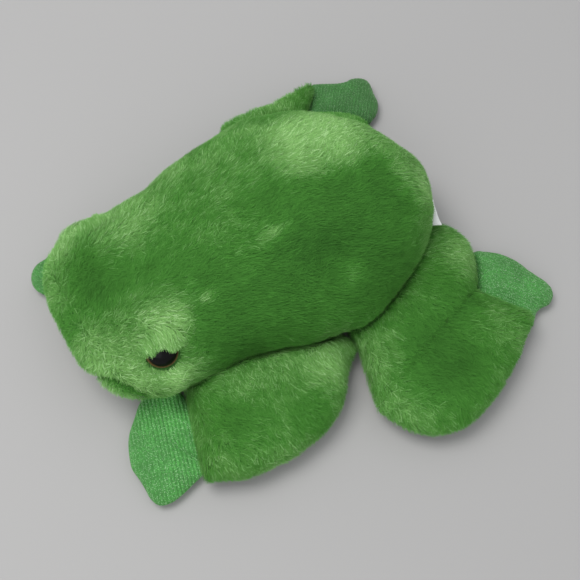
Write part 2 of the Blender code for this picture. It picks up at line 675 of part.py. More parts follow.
def build_leg(side, body, press, skirt):
    line = HingeLine(body, side, HIP_SLANT, HIP_FRONT_DISTANCE, LEG_SPAN)

    def place(shares, tuck_shares=LEG_TUCK_SHARES[side]):
        """Right leg: the knee is pressed in against the body, the foot hardly at all."""
        out, along = shares
        front_share, rear_share = tuck_shares
        along *= LEG_FRONT_SHARE[side] if along < 0 else 1.0
        tucked = front_share + (rear_share - front_share) * min(1.0, max(0.0, along))
        out *= LEG_SPREAD * tucked if out > 0 else LIMB_TUCK_DEPTH
        return line.point(out, along * LEG_SPAN)

    knee_front, knee_rear = (place(shares) for shares in KNEE_LINE_SHARES)
    forward = ANKLE_FORWARD_SHARE[side]
    ankle_start, ankle_end = (place((out, along - forward)) for out, along in ANKLE_LINE_SHARES)
    hip = joint_empty(f"hip_{side}", line.hinge_place(0.5 * LEG_SPAN))
    knee = joint_empty(f"knee_{side}", (*knee_front, SEAM_HEIGHT), hip)
    ankle_middle = 0.5 * (ankle_start + ankle_end)
    ankle = joint_empty(f"ankle_{side}", (*ankle_middle, FOOT_THICKNESS), knee)
    thigh = limb_pillow([place(shares) for shares in THIGH_OUTLINE_SHARES], LEG_SEAM_HEIGHT, LEG_CROWN_HEIGHT)
    shank = limb_pillow([place(shares) for shares in SHANK_OUTLINE_SHARES], LEG_SEAM_HEIGHT, LEG_CROWN_HEIGHT)
    thigh_side = half_space_cutter(f"thigh_side_{side}", knee_front, knee_rear, line.point(0.0, 0.0), SEAM_GAP)
    shank_side = half_space_cutter(f"shank_side_{side}", knee_front, knee_rear,
                                   line.point(2 * LEG_SPREAD, 0.0), SEAM_GAP)
    shank_end = half_space_cutter(f"shank_end_{side}", ankle_start, ankle_end, knee_front, SEAM_GAP)
    foot_end = half_space_cutter(f"foot_end_{side}", ankle_start, ankle_end,
                                 line.point(0.0, 2 * LEG_SPAN), SEAM_GAP)
    thigh_wall = prism_cutter(f"thigh_wall_{side}", grow_loop(thigh.outline, FOOT_CLEARANCE),
                              -CUT_OVERRUN_LENGTH, CUT_OVERRUN_LENGTH)
    stuffed_limb(f"thigh_{side}", thigh, hip, (press, skirt, thigh_side))
    stuffed_limb(f"shank_{side}", shank, knee, (press, skirt, shank_side, shank_end))
    foot = [place((out, along - (forward if along < ANKLE_LINE_SHARES[0][1] else 0.0)), FOOT_TUCK_SHARES[side])
            for out, along in FOOT_OUTLINE_SHARES]
    knit_pad(f"foot_{side}", foot, FOOT_THICKNESS, ankle, (foot_end, thigh_wall))
    report_line(f"hip_{side}", line.hinge_place(0.0), line.hinge_place(LEG_SPAN))
    report_line(f"knee_{side}", (*knee_front, 0.0), (*knee_front, SEAM_HEIGHT))
    report_line(f"ankle_{side}", (*ankle_start, FOOT_THICKNESS), (*ankle_end, FOOT_THICKNESS))


def report_line(name, start, end):
    """Prints where a hinge line starts and which way it runs."""
    along = (Vector(end) - Vector(start)).normalized()
    print(name, "at", [round(value, 5) for value in start], "along", [round(value, 5) for value in along])


def main():
    clear_scene()
    body = body_pillow()
    pieces = build_body(body)
    build_eyes(body, pieces["head_cover"], pieces["head_filling"])
    build_label(body)
    under_floor = replace(body, floor=-SEAM_GAP)
    press = as_cutter(closed_pillow("body_press", under_floor, -SEAM_GAP, BODY_RINGS, None, None))
    skirt = prism_cutter("body_skirt", grow_loop(body.outline, -TUCK_DEPTH), -CUT_OVERRUN_LENGTH, SEAM_HEIGHT)
    cheek_wall = prism_cutter("cheek_wall", grow_loop(body.outline, FOOT_CLEARANCE), -CUT_OVERRUN_LENGTH,
                              SEAM_HEIGHT)
    for side in SIDES:
        build_arm(side, body, press, skirt, cheek_wall)
        build_leg(side, body, press, skirt)


main()
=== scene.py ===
"""Looks of a plush frog lying on its belly: stuffed skins with pile, knitted hands and feet, eyes, label.

Metres, +Z up. The frog looks along -Y and its left side is +X. Every stuffed skin is a pillow: a
widest line seen from above, a rise above that line and a fall below it. Fibres grow from the skins
as thin tapered blades that lie along the nap.
"""

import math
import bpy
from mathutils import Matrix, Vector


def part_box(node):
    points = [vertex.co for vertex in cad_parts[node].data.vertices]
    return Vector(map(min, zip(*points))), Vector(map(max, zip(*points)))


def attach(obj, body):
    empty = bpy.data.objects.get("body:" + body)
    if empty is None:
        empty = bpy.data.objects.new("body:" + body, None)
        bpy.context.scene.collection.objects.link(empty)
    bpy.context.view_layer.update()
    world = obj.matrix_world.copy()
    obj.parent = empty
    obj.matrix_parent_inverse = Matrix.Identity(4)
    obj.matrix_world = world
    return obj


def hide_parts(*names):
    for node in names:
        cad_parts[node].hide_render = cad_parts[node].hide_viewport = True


bl_info = {
    "name": "Plush Frog Looks",
    "version": (1, 0, 0),
    "blender": (4, 5, 0),
    "location": "View3D > Sidebar > Frog",
    "description": "Dresses the frog's solids with plush, knit, eyes and a label, and lights it",
    "category": "Mesh",
}

from dataclasses import dataclass
from typing import Callable

import bpy
import numpy as np
from bpy.props import FloatProperty, FloatVectorProperty, PointerProperty
from bpy.types import Operator, Panel, PropertyGroup
from mathutils import Vector

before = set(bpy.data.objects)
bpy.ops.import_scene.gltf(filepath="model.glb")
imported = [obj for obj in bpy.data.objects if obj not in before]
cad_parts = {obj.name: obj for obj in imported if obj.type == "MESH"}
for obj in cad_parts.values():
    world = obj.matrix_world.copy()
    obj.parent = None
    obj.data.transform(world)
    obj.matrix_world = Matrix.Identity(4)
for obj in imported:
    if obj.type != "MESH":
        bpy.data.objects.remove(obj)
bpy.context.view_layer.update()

MM = 0.001
SIDES = {"left": 1.0, "right": -1.0}

# Body and head, from the belly's origin
REAR_LENGTH = 0.102
NECK_DISTANCE = 0.067
HEAD_LENGTH = 0.064
BODY_WIDTH = 0.151
NECK_WIDTH = 0.120
HEAD_WIDTH = 0.124
SEAM_HEIGHT = 0.028
BODY_CROWN_HEIGHT = 0.044
NECK_CROWN_HEIGHT = 0.033
HEAD_CROWN_HEIGHT = 0.030
HEAD_SWAY_DISTANCE = 0.006
BROW_HEIGHT = 0.010
BROW_SPACING = 0.452 * HEAD_WIDTH
BROW_RADIUS = 0.012
SOCKET_DEPTH = 0.010
SOCKET_SPACING = 0.855 * HEAD_WIDTH
SOCKET_RADIUS = 0.010
LIP_SETBACK_DEPTH = 0.0028
MOUTH_DEPTH = 0.0052
MOUTH_SPREAD = 0.0014
# The mouth's fold: angle round the head from the nose in degrees, height in millimetres
MOUTH_LINE = ((0, 19.0), (16, 20.5), (26, 26.0), (36, 32.5), (44, 33.5), (52, 31.0), (60, 27.0), (80, 23.0))
FLOOR_LIFT = 0.0006  # skins stay this far above the surface
UNLIMITED = 1.0  # where nothing presses on a limb

# Eyes
EYE_SPACING = 0.766 * HEAD_WIDTH
EYE_DISTANCE = 0.0876
EYE_SEAT_DEPTH = {"left": 0.0028, "right": 0.0046}  # the rim sits on the cloth, under the pile
EYE_RAISE = {"left": 0.0023, "right": 0.0006}  # and is pulled up under the brow
EYE_SHIFT = 0.8 * MM  # towards the nose
EYE_FORWARD_ANGLE = math.radians(12.0)
EYE_RISE_ANGLE = math.radians(38.0)
PUPIL_RAISE_SHARE = 0.13  # of the eye's radius
STEM_RADIUS = 2.25 * MM
STEM_LENGTH = 12 * MM
RIM_SHARE = 0.51  # of the eye's diameter: nearer to the axis no fibre grows
BROW_OVERLAP_SHARE = 0.08  # above the eye they grow this much nearer
BROW_REACH, BROW_EASE = 16 * MM, 9 * MM
BROW_EXTRA_LENGTH = {"left": 0.90, "right": 1.30}
BROW_EXTRA_LIFT = {"left": 0.57, "right": 0.77}

# Arms
ARM_SPAN = 0.097
ARM_FRONT_DISTANCE = 0.092
ARM_SPREAD = {"left": 0.050, "right": 0.005}
ARM_SEAM_HEIGHT = 0.011
ARM_CROWN_HEIGHT = {"left": 0.016, "right": 0.012}
SHOULDER_SLANT = math.radians(8.6)
WRIST_SETBACK_DISTANCE = 0.0052
WRIST_SLANT = math.radians(-6.7)
HAND_THICKNESS = 0.010

# Legs
LEG_SPAN = 0.090
HIP_FRONT_DISTANCE = 0.0185
LEG_SPREAD = 0.074
LEG_SEAM_HEIGHT = 0.012
LEG_CROWN_HEIGHT = 0.015
HIP_SLANT = math.radians(-26.6)
FOOT_THICKNESS = 0.011
LEG_TUCK_SHARES = {"left": (1.0, 1.0), "right": (0.20, 0.74)}
LEG_FRONT_SHARE = {"left": 1.0, "right": 0.35}
FOOT_TUCK_SHARES = {"left": (1.0, 1.0), "right": (0.62, 0.725)}
ANKLE_FORWARD_SHARE = {"left": 0.0, "right": 0.13}

# How limbs lie under the side of the body
LIMB_TUCK_DEPTH = 0.026
TUCK_DEPTH = 0.0125
HINGE_CLEARANCE = 0.0006
BODY_GAP = 0.6 * MM
FOOT_GAP = 0.8 * MM
KNEE_GAP = 0.0002  # from the knee line to each cloth
PAD_TUCK_LENGTH = 0.0045  # how far a knitted pad runs into its limb

# Label at the rump
LABEL_WIDTH = 0.018
LABEL_LENGTH = 0.0075
LABEL_ROOT_DEPTH = 0.001
LABEL_HALF_THICKNESS = 0.42 * MM

# How fibres grow: shares of the nap's direction, shares of a length, and distances
SWIRL_SHARE, SWIRL_SIZE = 0.50, 24 * MM  # slow turns of the nap
CLUMP_SHARE, CLUMP_SIZE = 0.42, 4 * MM  # small tufts
STRAY_SHARE = 0.30  # single fibres
FIBRE_LENGTHS = (0.70, 1.10)
FIBRE_WIDTHS = (0.7, 1.3)
FIBRE_LIFT = 0.12  # how steeply a fibre leaves the cloth: the sine of the angle
LIFT_LIMITS = (0.03, 0.95)
LAYER_HEIGHT = 2.4 * MM  # roots are raised up to this, so that the fibres lie in layers
ROOT_DEPTH = 0.25 * MM
SHORTEST_FIBRE = 1.0 * MM

# Points round a form, rings above its widest line and rings below it
TORSO_RINGS = (320, 84, 52)
LIMB_RINGS = (168, 44, 30)
PAD_RINGS = (200, 56, 40)
LOOP_POINTS = 480
BODY_LOOP_POINTS = 720

# Lights, each with its place and width, and the stage
KEY_LIGHT = ((-0.38, -0.40, 1.42), 0.9)
FILL_LIGHT = ((0.9, -0.9, 0.8), 1.2)
AIR_COLOUR, AIR_STRENGTH = (0.93, 0.96, 1.0, 1.0), 0.60
BACKDROP_COLOUR = (0.72, 0.71, 0.70, 1.0)
FLOOR_HALF_WIDTH = 6.0
CAMERA_AIM = (0.023, 0.0, 0.0)

# Outlines as shares of the sizes above: across and along the body, or out from a hinge line and along it
HEAD_OUTLINE_SHARES = ((0.0, 1.0), (0.34, 0.975), (0.60, 0.90), (0.79, 0.76), (0.93, 0.58), (0.99, 0.38))
CHEST_OUTLINE_SHARES = ((0.80, 0.73), (0.87, 0.43), (0.948, 0.15))
RUMP_OUTLINE_SHARES = (
    (1.0, 0.15), (0.985, 0.27), (0.935, 0.38), (0.857, 0.52), (0.753, 0.65),
    (0.623, 0.765), (0.468, 0.863), (0.286, 0.941), (0.10, 0.99),
)
ARM_OUTLINE_SHARES = (
    (0.73, -0.07), (0.90, 0.04), (0.99, 0.20), (0.97, 0.41), (0.92, 0.55), (0.74, 0.77),
    (0.47, 0.93), (0.19, 1.04), (0.0, 1.08), (-0.55, 0.92), (-0.95, 0.66), (-1.0, 0.32),
    (-0.90, 0.04), (-0.45, -0.08), (0.28, -0.11),
)
# The knitted hands' widest lines, in millimetres
HAND_OUTLINES = {
    "left": (
        (98, -84), (97.5, -92), (98.5, -98), (100.3, -105), (102.2, -112), (103, -119), (101, -125),
        (95.5, -127.5), (88, -127.8), (82, -128.4), (75, -129), (65, -126), (57.5, -122), (50, -115),
        (44, -109), (41, -102), (42, -88),
    ),
    "right": (
        (-69.5, -80), (-69, -92), (-67.5, -102), (-66.8, -110), (-67.3, -118), (-65.6, -126), (-60, -131),
        (-52, -132), (-44.5, -128), (-40.5, -120), (-41.5, -108), (-46, -96), (-48, -84),
    ),
}
# Painted light and shade on each knitted pad: its tone, and where the left one is painted lighter against the
# cheek's shadow, in millimetres
PAD_PAINTED_LIGHT = {"hand_left": 1.0, "hand_right": 0.85, "foot_left": 0.88, "foot_right": 0.58}
CHEEK_SHADOW_PLACE = (52, -98)
THIGH_OUTLINE_SHARES = (
    (-0.30, -0.08), (0.01, -0.17), (0.15, -0.26), (0.36, -0.35), (0.66, -0.34), (0.74, 0.02), (0.62, 0.36),
    (0.48, 0.66), (0.37, 0.83), (0.26, 0.95), (0.11, 1.03), (-0.25, 1.03), (-0.95, 0.88), (-1.0, 0.60),
    (-1.0, 0.30), (-0.85, 0.05),
)
SHANK_OUTLINE_SHARES = (
    (-0.02, -0.28), (0.38, -0.36), (0.65, -0.34), (0.80, -0.26), (0.92, -0.13), (0.985, 0.08), (1.0, 0.29),
    (0.975, 0.57), (0.92, 0.76), (0.78, 0.85), (0.45, 0.82), (0.27, 0.66), (0.16, 0.30), (-0.04, 0.02),
)
FOOT_OUTLINE_SHARES = (
    (0.93, 0.60), (0.935, 0.83), (0.985, 0.92), (0.975, 1.00), (0.905, 1.05), (0.72, 1.075), (0.58, 1.095),
    (0.43, 1.08), (0.33, 1.045), (0.25, 0.99), (0.27, 0.86), (0.36, 0.62),
)
KNEE_LINE_SHARES = ((0.30, -0.32), (0.44, 0.71))
ANKLE_LINE_SHARES = ((0.377, 0.708), (0.91, 0.762))

# Painted sheen (strength above 0) and painted shade (below 0) on the pile, for how light falls on the nap and
# into creases: x, y, z and radius in millimetres, strength
TORSO_PAINTED_LIGHT = (
    (20, -117, 42, 12, 0.38), (36, -111, 40, 9, 0.3), (31, -74, 57, 8, 0.5), (28, -87, 58, 6, 0.5),
    (36, -80, 53, 7, 0.6), (54, -88, 36, 6, 0.95), (47, -104, 35, 6, 0.5), (-57, -95, 38, 9, 0.55),
    (-49, -76, 50, 9, 0.5), (-50, -108, 40, 9, 0.45), (-53, -38, 50, 9, 0.3), (-40, -12, 63, 9, 0.3),
    (-33, 30, 68, 12, 0.8), (-12, 27, 71, 9, 0.55), (-29, 55, 64, 13, 1.1), (-10, 51, 68, 9, 0.4),
    (-62, 33, 55, 12, -0.1), (18, 76, 58, 11, 0.22), (25, 87, 47, 9, 0.5), (34, 78, 50, 10, 0.12),
    (-5, 90, 45, 14, 0.4), (57, 17, 60, 6, 0.6), (21, -10, 70, 5, 0.35), (30, -55, 59, 4, 0.3),
    (9, -92, 56, 8, 0.25), (-22, -85, 55, 10, 0.3), (-25, -72, 60, 8, 0.2), (-50, 10, 63, 8, 0.25),
    (-22, -103, 51, 10, -0.4), (-6, -105, 49, 10, -0.5), (10, -107, 48, 9, -0.15), (-43, -113, 42, 7, 0.3),
    (-21, -122, 39, 7, 0.1), (-5, -128, 36, 8, -0.15), (12, -129, 33, 8, -0.1), (33, 2, 69, 18, -0.4),
    (46, -118, 18, 11, 0.5), (-2, -72, 58, 14, -0.35), (46, -38, 54, 18, -0.5), (26, -54, 60, 11, -0.25),
    (33, -96, 50, 5, 0.35), (60, -52, 38, 12, -0.4), (45, 20, 65, 20, -0.35), (28, 60, 63, 13, -0.4),
    (62, 40, 45, 18, -0.4), (10, 24, 71, 9, -0.3), (8, 62, 65, 7, -0.35), (25, 57, 63, 11, -0.2),
    (0, -5, 72, 12, -0.15), (6, 42, 69, 7, -0.3), (20, -3, 71, 2.2, 0.4), (20, -9, 70, 2.2, 0.5),
    (21, -16, 69, 2.2, 0.45), (23, -22, 68, 2.0, 0.4), (19, -29, 67, 2.0, 0.3), (30, -53, 60, 1.8, 0.6),
    (31, -57, 58, 1.8, 0.6), (2, -118, 46, 12, 0.05), (-38, -60, 56, 9, 0.3),
)
LIMB_PAINTED_LIGHT = (
    (80, -13, 22, 9, 0.55), (112, -42, 14, 10, 0.2), (95, -90, 16, 10, 0.1), (72, -62, 26, 9, 0.25),
    (100, 16, 20, 11, 0.15), (116, 32, 26, 14, -0.35), (126, 14, 20, 9, 0.15), (62, 92, 22, 8, 0.45),
    (143, 50, 15, 11, 0.1), (95, 45, 24, 10, -0.3), (86, 72, 24, 10, -0.35), (120, 52, 26, 14, -0.42),
    (-88, 36, 22, 13, 0.12), (-82, 62, 20, 13, 0.15), (80, -40, 27, 15, 0.15), (102, -38, 22, 11, -0.3),
    (82, 2, 18, 9, 0.25), (88, 81, 24, 3.0, -0.7), (92, 73, 26, 3.0, -0.6), (95, 65, 26, 3.0, -0.5),
    (97, 58, 26, 3.0, -0.4), (82, 78, 27, 5, 0.2), (82, -68, 22, 11, -0.45), (112, -66, 9, 9, 0.3),
    (116, -48, 9, 9, 0.25),
)

# Where the stuffing stands out or sinks: x, y, z, radius and height in millimetres
STUFFING = (
    (-58, -96, 42, 10, 0.6), (-52, -79, 50, 12, -3.0), (-55, -33, 48, 12, 3.8), (34, 80, 44, 15, 3.2),
    (2, 92, 45, 12, -1.6), (-2, -131, 28, 16, -1.2), (24, -127, 24, 13, 0.6), (47, -119, 15, 12, 4.4),
    (35, -124, 22, 7, -1.8), (60, -104, 16, 12, 4.0), (7, 62, 66, 8, -1.4), (4, 40, 70, 8, -1.0),
    (-30, 50, 66, 16, 1.0), (-62, -77, 38, 12, -2.4), (-61, -55, 40, 9, -1.0), (10, 102, 30, 12, 3.2),
    (-21, 97, 34, 10, -2.2),
)
LIMB_STUFFING = (
    (-93, 27, 16, 10, -1.6), (92, -3, 9, 7, -2.4), (85, 5, 16, 7, -2.6), (104, -86, 8, 7, -1.5),
    (114, 12, 8, 6, -1.0), (125, 96, 8, 12, -0.9), (113, -35, 8, 12, 1.0), (88, 82, 24, 4, -2.4),
    (93, 71, 26, 4, -2.3), (97, 60, 26, 4, -1.8), (79, 70, 27, 9, 2.4), (70, 85, 24, 9, 2.0),
)

# Layers of noise: strength, size in millimetres and seed
# Level and noise of the painted sheen and painted shade on the pile
PAINTED_LIGHT_LEVEL = 0.10
PAINTED_LIGHT_NOISE = ((0.16, 17, 3), (0.12, 6, 4), (0.14, 2.2, 5), (0.12, 1.1, 6))
LIFT_NOISE = ((0.05, 7, 113),)
TORSO_LUMPS = ((0.8 * MM, 24, 11), (0.35 * MM, 9, 12))

# Each limb's backing depth in millimetres and its pile's length as a share
LIMB_PILE = {
    "arm_left": (1.1, 1.0), "thigh_left": (2.8, 1.0), "shank_left": (2.7, 1.0),
    "arm_right": (2.0, 0.85), "thigh_right": (5.2, 0.95), "shank_right": (5.6, 0.95),
}
# Where each piece of the body's pile begins and ends, from front to rear
PILE_LIMITS = {
    "head_pile": (-1.0, 6 * MM - NECK_DISTANCE), "shoulder_pile": (6 * MM - NECK_DISTANCE, 0.0),
    "back_pile": (0.0, 0.45 * REAR_LENGTH), "rump_pile": (0.45 * REAR_LENGTH, 1.0), "belly_pile": (-1.0, 1.0),
}


class FrogPileSettings(PropertyGroup):
    """Sizes of the plush's fibres."""

    length: FloatProperty(
        name="Pile length", description="Length of a fibre", default=0.0035, min=0.001, max=0.02,
        unit="LENGTH")
    width: FloatProperty(
        name="Fibre width", description="Width of a fibre at its root", default=0.00022,
        min=0.0001, max=0.003, unit="LENGTH")
    density: FloatProperty(
        name="Fibres per square millimetre", description="How closely the fibres stand on what shows",
        default=8.0, min=0.1, max=20.0)
    under_density: FloatProperty(
        name="Fibres per square millimetre underneath", description="How closely they stand on the underside",
        default=2.2, min=0.1, max=20.0)
    backing_depth: FloatProperty(
        name="Backing depth", description="How far the cloth lies under the pile's surface", default=0.0028,
        min=0.001, max=0.02, unit="LENGTH")


class FrogKnitSettings(PropertyGroup):
    """Sizes of the ribbed knit of hands and feet."""

    rib_pitch: FloatProperty(
        name="Rib pitch", description="Distance from rib to rib", default=0.0021, min=0.0005, max=0.01,
        unit="LENGTH")
    rib_height: FloatProperty(
        name="Rib height", description="How far a rib stands up", default=0.00028, min=0.0, max=0.002,
        unit="LENGTH")
    stitch_pitch: FloatProperty(
        name="Stitch pitch", description="Distance from stitch to stitch along a rib", default=0.0013,
        min=0.0003, max=0.01, unit="LENGTH")


class FrogEyeSettings(PropertyGroup):
    """Sizes of the domed eyes."""

    diameter: FloatProperty(
        name="Eye diameter", description="Across the whole eye", default=0.0178, min=0.004, max=0.03,
        unit="LENGTH")
    dome_height: FloatProperty(
        name="Dome height", description="Rise of the dome over its rim", default=0.0055, min=0.001, max=0.02,
        unit="LENGTH")
    pupil_share: FloatProperty(
        name="Pupil share", description="Pupil's diameter as a share of the eye's", default=0.83, min=0.2,
        max=0.95)


COLOUR = {"subtype": "COLOR", "size": 3, "min": 0.0, "max": 1.0}


class FrogColourSettings(PropertyGroup):
    """Colours of plush, knit, eyes and floor."""

    # Painted shade: the dark colour deep in the pile, at the fibres' roots, in the backing cloth and where
    # the painted light is low
    deep: FloatVectorProperty(
        name="Plush at the roots", description="Colour deep in the pile",
        default=(0.018, 0.085, 0.010), **COLOUR)
    green: FloatVectorProperty(
        name="Plush at the tips", description="Colour of the fibres' ends",
        default=(0.090, 0.332, 0.045), **COLOUR)
    # Painted highlight: the pale colour where the painted light is high, standing for sheen on the nap
    bright: FloatVectorProperty(
        name="Plush that catches light", description="Colour where the nap turns",
        default=(0.350, 0.690, 0.205), **COLOUR)
    knit: FloatVectorProperty(
        name="Knit", description="Colour of hands and feet",
        default=(0.105, 0.438, 0.085), **COLOUR)
    amber: FloatVectorProperty(
        name="Iris", description="Colour round the pupil",
        default=(0.175, 0.100, 0.040), **COLOUR)
    floor: FloatVectorProperty(
        name="Floor", description="Colour of the surface it lies on",
        default=(0.455, 0.445, 0.435), **COLOUR)


class FrogStageSettings(PropertyGroup):
    """Camera and light."""

    azimuth: FloatProperty(
        name="Camera azimuth", description="Degrees round the frog, from its nose", default=59.7,
        min=-180.0, max=180.0)
    elevation: FloatProperty(
        name="Camera elevation", description="Degrees above the surface", default=62.5, min=-10.0, max=89.0)
    distance: FloatProperty(
        name="Camera distance", description="Camera to the frog", default=0.515, min=0.1, max=5.0,
        unit="LENGTH")
    lens: FloatProperty(name="Focal length", description="In millimetres", default=53.28, min=10.0, max=300.0)
    key_power: FloatProperty(
        name="Main light", description="Power of the large soft light, in watts", default=12.3, min=0.0,
        max=200.0)
    fill_power: FloatProperty(
        name="Fill light", description="Power of the soft light from the front, in watts", default=4.0,
        min=0.0, max=200.0)


class FrogSettings(PropertyGroup):
    """All settings of the frog."""

    pile: PointerProperty(type=FrogPileSettings)
    knit: PointerProperty(type=FrogKnitSettings)
    eyes: PointerProperty(type=FrogEyeSettings)
    colours: PointerProperty(type=FrogColourSettings)
    stage: PointerProperty(type=FrogStageSettings)


# Shapes

def ramp(past, width=1.0):
    """past / width, held between 0 and 1."""
    return np.clip(past / width, 0.0, 1.0)


def eased(size, share):
    """size * (3 share^2 - 2 share^3), with the share held between 0 and 1."""
    share = ramp(share)
    return size * share * share * (3 - 2 * share)


def lengths(vectors):
    """Each row's length."""
    return np.linalg.norm(vectors, axis=1)


def unit(vectors, smallest=1e-9):
    """Each row divided by its length."""
    return vectors / np.maximum(np.linalg.norm(vectors, axis=1, keepdims=True), smallest)


def smooth_loop(points, count):
    """A closed Catmull-Rom curve through the points, cut into even steps."""
    points = np.asarray(points, dtype=float)
    before, after, beyond = (np.roll(points, shift, 0) for shift in (1, -1, -2))
    t = np.linspace(0.0, 1.0, 24, endpoint=False)[None, :, None]
    before, start, end, beyond = (row[:, None] for row in (before, points, after, beyond))
    fine = 0.5 * (2 * start + (end - before) * t
                  + (2 * before - 5 * start + 4 * end - beyond) * t**2
                  + (3 * start - before - 3 * end + beyond) * t**3)
    return even_loop(fine.reshape(-1, 2), count)


def even_loop(points, count):
    """The closed line through the points, cut into even steps."""
    closed = np.vstack([points, points[:1]])
    walked = np.concatenate([[0.0], np.cumsum(lengths(np.diff(closed, axis=0)))])
    places = np.linspace(0.0, walked[-1], count, endpoint=False)
    return np.column_stack([np.interp(places, walked, closed[:, axis]) for axis in range(2)])


def loop_reach(loop, centre, x, y):
    """Distance from the centre to the loop, in the direction of each place."""
    away = loop - centre
    turns = np.arctan2(away[:, 1], away[:, 0])
    order = np.argsort(turns)
    places = np.arctan2(y - centre[1], x - centre[0])
    return np.interp(places, turns[order], lengths(away)[order], period=2 * math.pi)


def grown_loop(loop, distance):
    """The loop moved outwards, or inwards where the distance is negative."""
    following = np.roll(loop, -1, 0)
    along = unit(following - np.roll(loop, 1, 0))
    area = np.sum(loop[:, 0] * following[:, 1] - following[:, 0] * loop[:, 1])
    return loop + np.column_stack([along[:, 1], -along[:, 0]]) * distance * np.sign(area)


def swell(share, power):
    """A pillow's fullness, 1 in the middle and 0 at its edge: square root of (1 - share to a power)."""
    return np.sqrt(ramp(1.0 - share**power))


@dataclass
class Pillow:
    """A stuffed form: its widest line, the point that its rings close on, and its rises."""

    outline: np.ndarray
    centre: np.ndarray
    seam_height: float
    crown: Callable
    top_power: float = 3.0
    under_power: float = 2.5
    body: "Pillow" = None  # presses on the form from above
    skirt: np.ndarray = None  # the form stays outside this loop round the body's centre
    wall: tuple = None  # and on one side of this upright plane

    def share(self, x, y):
        """0 over the centre, 1 over the widest line."""
        reach = loop_reach(self.outline, self.centre, x, y)
        return np.hypot(x - self.centre[0], y - self.centre[1]) / reach

    def top(self, x, y):
        """Height of the upper face: seam height + crown * swell."""
        return self.seam_height + self.crown(x, y) * swell(self.share(x, y), self.top_power)

    def under(self, x, y):
        """Height of the under face: seam height * (1 - swell), which is 0 where it rests."""
        return self.seam_height * (1.0 - swell(self.share(x, y), self.under_power))

    def grid(self, count, upper_rows, under_rows, depth):
        """Rows of points from the top pole to the bottom pole, depth inside the form."""
        spoke = even_loop(self.outline, count) - self.centre
        reach = lengths(spoke)[:, None]
        loop = self.centre + spoke * np.maximum(reach - depth, 0.4 * reach) / reach
        rows = []
        for row in range(upper_rows + under_rows + 1):
            upper = row <= upper_rows
            step = row / upper_rows if upper else (upper_rows + under_rows - row) / under_rows
            share = max(math.sin(0.5 * math.pi * step), 1e-4)
            place = self.centre + (loop - self.centre) * share
            if upper:
                rise = (self.crown(*place.T) - depth) * swell(share, self.top_power)
            else:
                rise = (FLOOR_LIFT + 0.3 * depth - self.seam_height) * swell(share, self.under_power)
            height = np.full(count, self.seam_height + rise)
            if self.skirt is not None:
                place = held_outside(place, self.skirt, self.body.centre)
            if self.wall is not None:
                place = held_this_side(place, *self.wall)
            if self.body is not None:
                pressed = np.maximum(pressed_height(self.body, place), FLOOR_LIFT + 0.4 * depth)
                height = np.minimum(height, pressed)
            rows.append(np.column_stack([place, height]))
        return np.stack(rows)


def pressed_height(body, place):
    """Height that the body's under side leaves free over each place; unlimited beside the body."""
    x, y = place[:, 0], place[:, 1]
    return np.where(body.share(x, y) >= 1.0, UNLIMITED, body.under(x, y) - BODY_GAP)


def bump(x, y, offset, radius):
    """A round swelling on each side of the head, level with the eyes: exp(-distance^2 / 2 radius^2)."""
    distance = (np.abs(x - head_sway(y)) - offset) ** 2 + (y + EYE_DISTANCE) ** 2
    return np.exp(-0.5 * distance / radius**2)


def head_sway(y):
    """How far the middle of head and neck lies to one side, eased in from behind the neck."""
    return eased(-HEAD_SWAY_DISTANCE, (-y - 0.5 * NECK_DISTANCE) / (0.5 * NECK_DISTANCE + HEAD_LENGTH))


def body_crown(x, y):
    """Rise above the side seam, eased from head to neck to back, with brows and eye sockets."""
    neck_share = (y + EYE_DISTANCE) / (EYE_DISTANCE - NECK_DISTANCE)
    rise = HEAD_CROWN_HEIGHT + eased(NECK_CROWN_HEIGHT - HEAD_CROWN_HEIGHT, neck_share)
    rise = rise + eased(BODY_CROWN_HEIGHT - NECK_CROWN_HEIGHT, (y + NECK_DISTANCE) / NECK_DISTANCE)
    rise = rise + BROW_HEIGHT * bump(x, y, BROW_SPACING / 2, BROW_RADIUS)
    return rise - SOCKET_DEPTH * bump(x, y, SOCKET_SPACING / 2, SOCKET_RADIUS)


def body_pillow():
    """Body and head: one side's outline and its mirror image, bent by the head's sway."""
    left = [(x * HEAD_WIDTH / 2, -NECK_DISTANCE - y * HEAD_LENGTH) for x, y in HEAD_OUTLINE_SHARES]
    left.append((NECK_WIDTH / 2, -NECK_DISTANCE))
    left += [(x * BODY_WIDTH / 2, -y * NECK_DISTANCE) for x, y in CHEST_OUTLINE_SHARES]
    left += [(x * BODY_WIDTH / 2, y * REAR_LENGTH) for x, y in RUMP_OUTLINE_SHARES]
    left.append((0.0, REAR_LENGTH))
    right = [(-x, y) for x, y in reversed(left[1:-1])]
    outline = smooth_loop([(x + head_sway(y), y) for x, y in left + right], BODY_LOOP_POINTS)
    return Pillow(outline, np.array([0.0, 0.0]), SEAM_HEIGHT, body_crown)


class HingeLine:
    """An upright plane just beside the body where a limb starts, and places measured from it."""

    def __init__(self, body, side, slant, front_y, span):
        self.sign = SIDES[side]
        self.outward = np.array([math.cos(slant), -math.sin(slant)])
        self.along = np.array([math.sin(slant), math.cos(slant)])
        x, y = body.outline.T
        beside = body.outline[(x > 0) & (y > front_y) & (y < front_y + span)]
        reach = float(np.max(beside @ self.outward)) + HINGE_CLEARANCE
        self.front = np.array([(reach - front_y * self.outward[1]) / self.outward[0], front_y])

    def point(self, out, along):
        """front + out * the outward way + along * the line's way, mirrored on the right."""
        x, y = self.front + self.outward * out + self.along * along
        return np.array([self.sign * x, y])


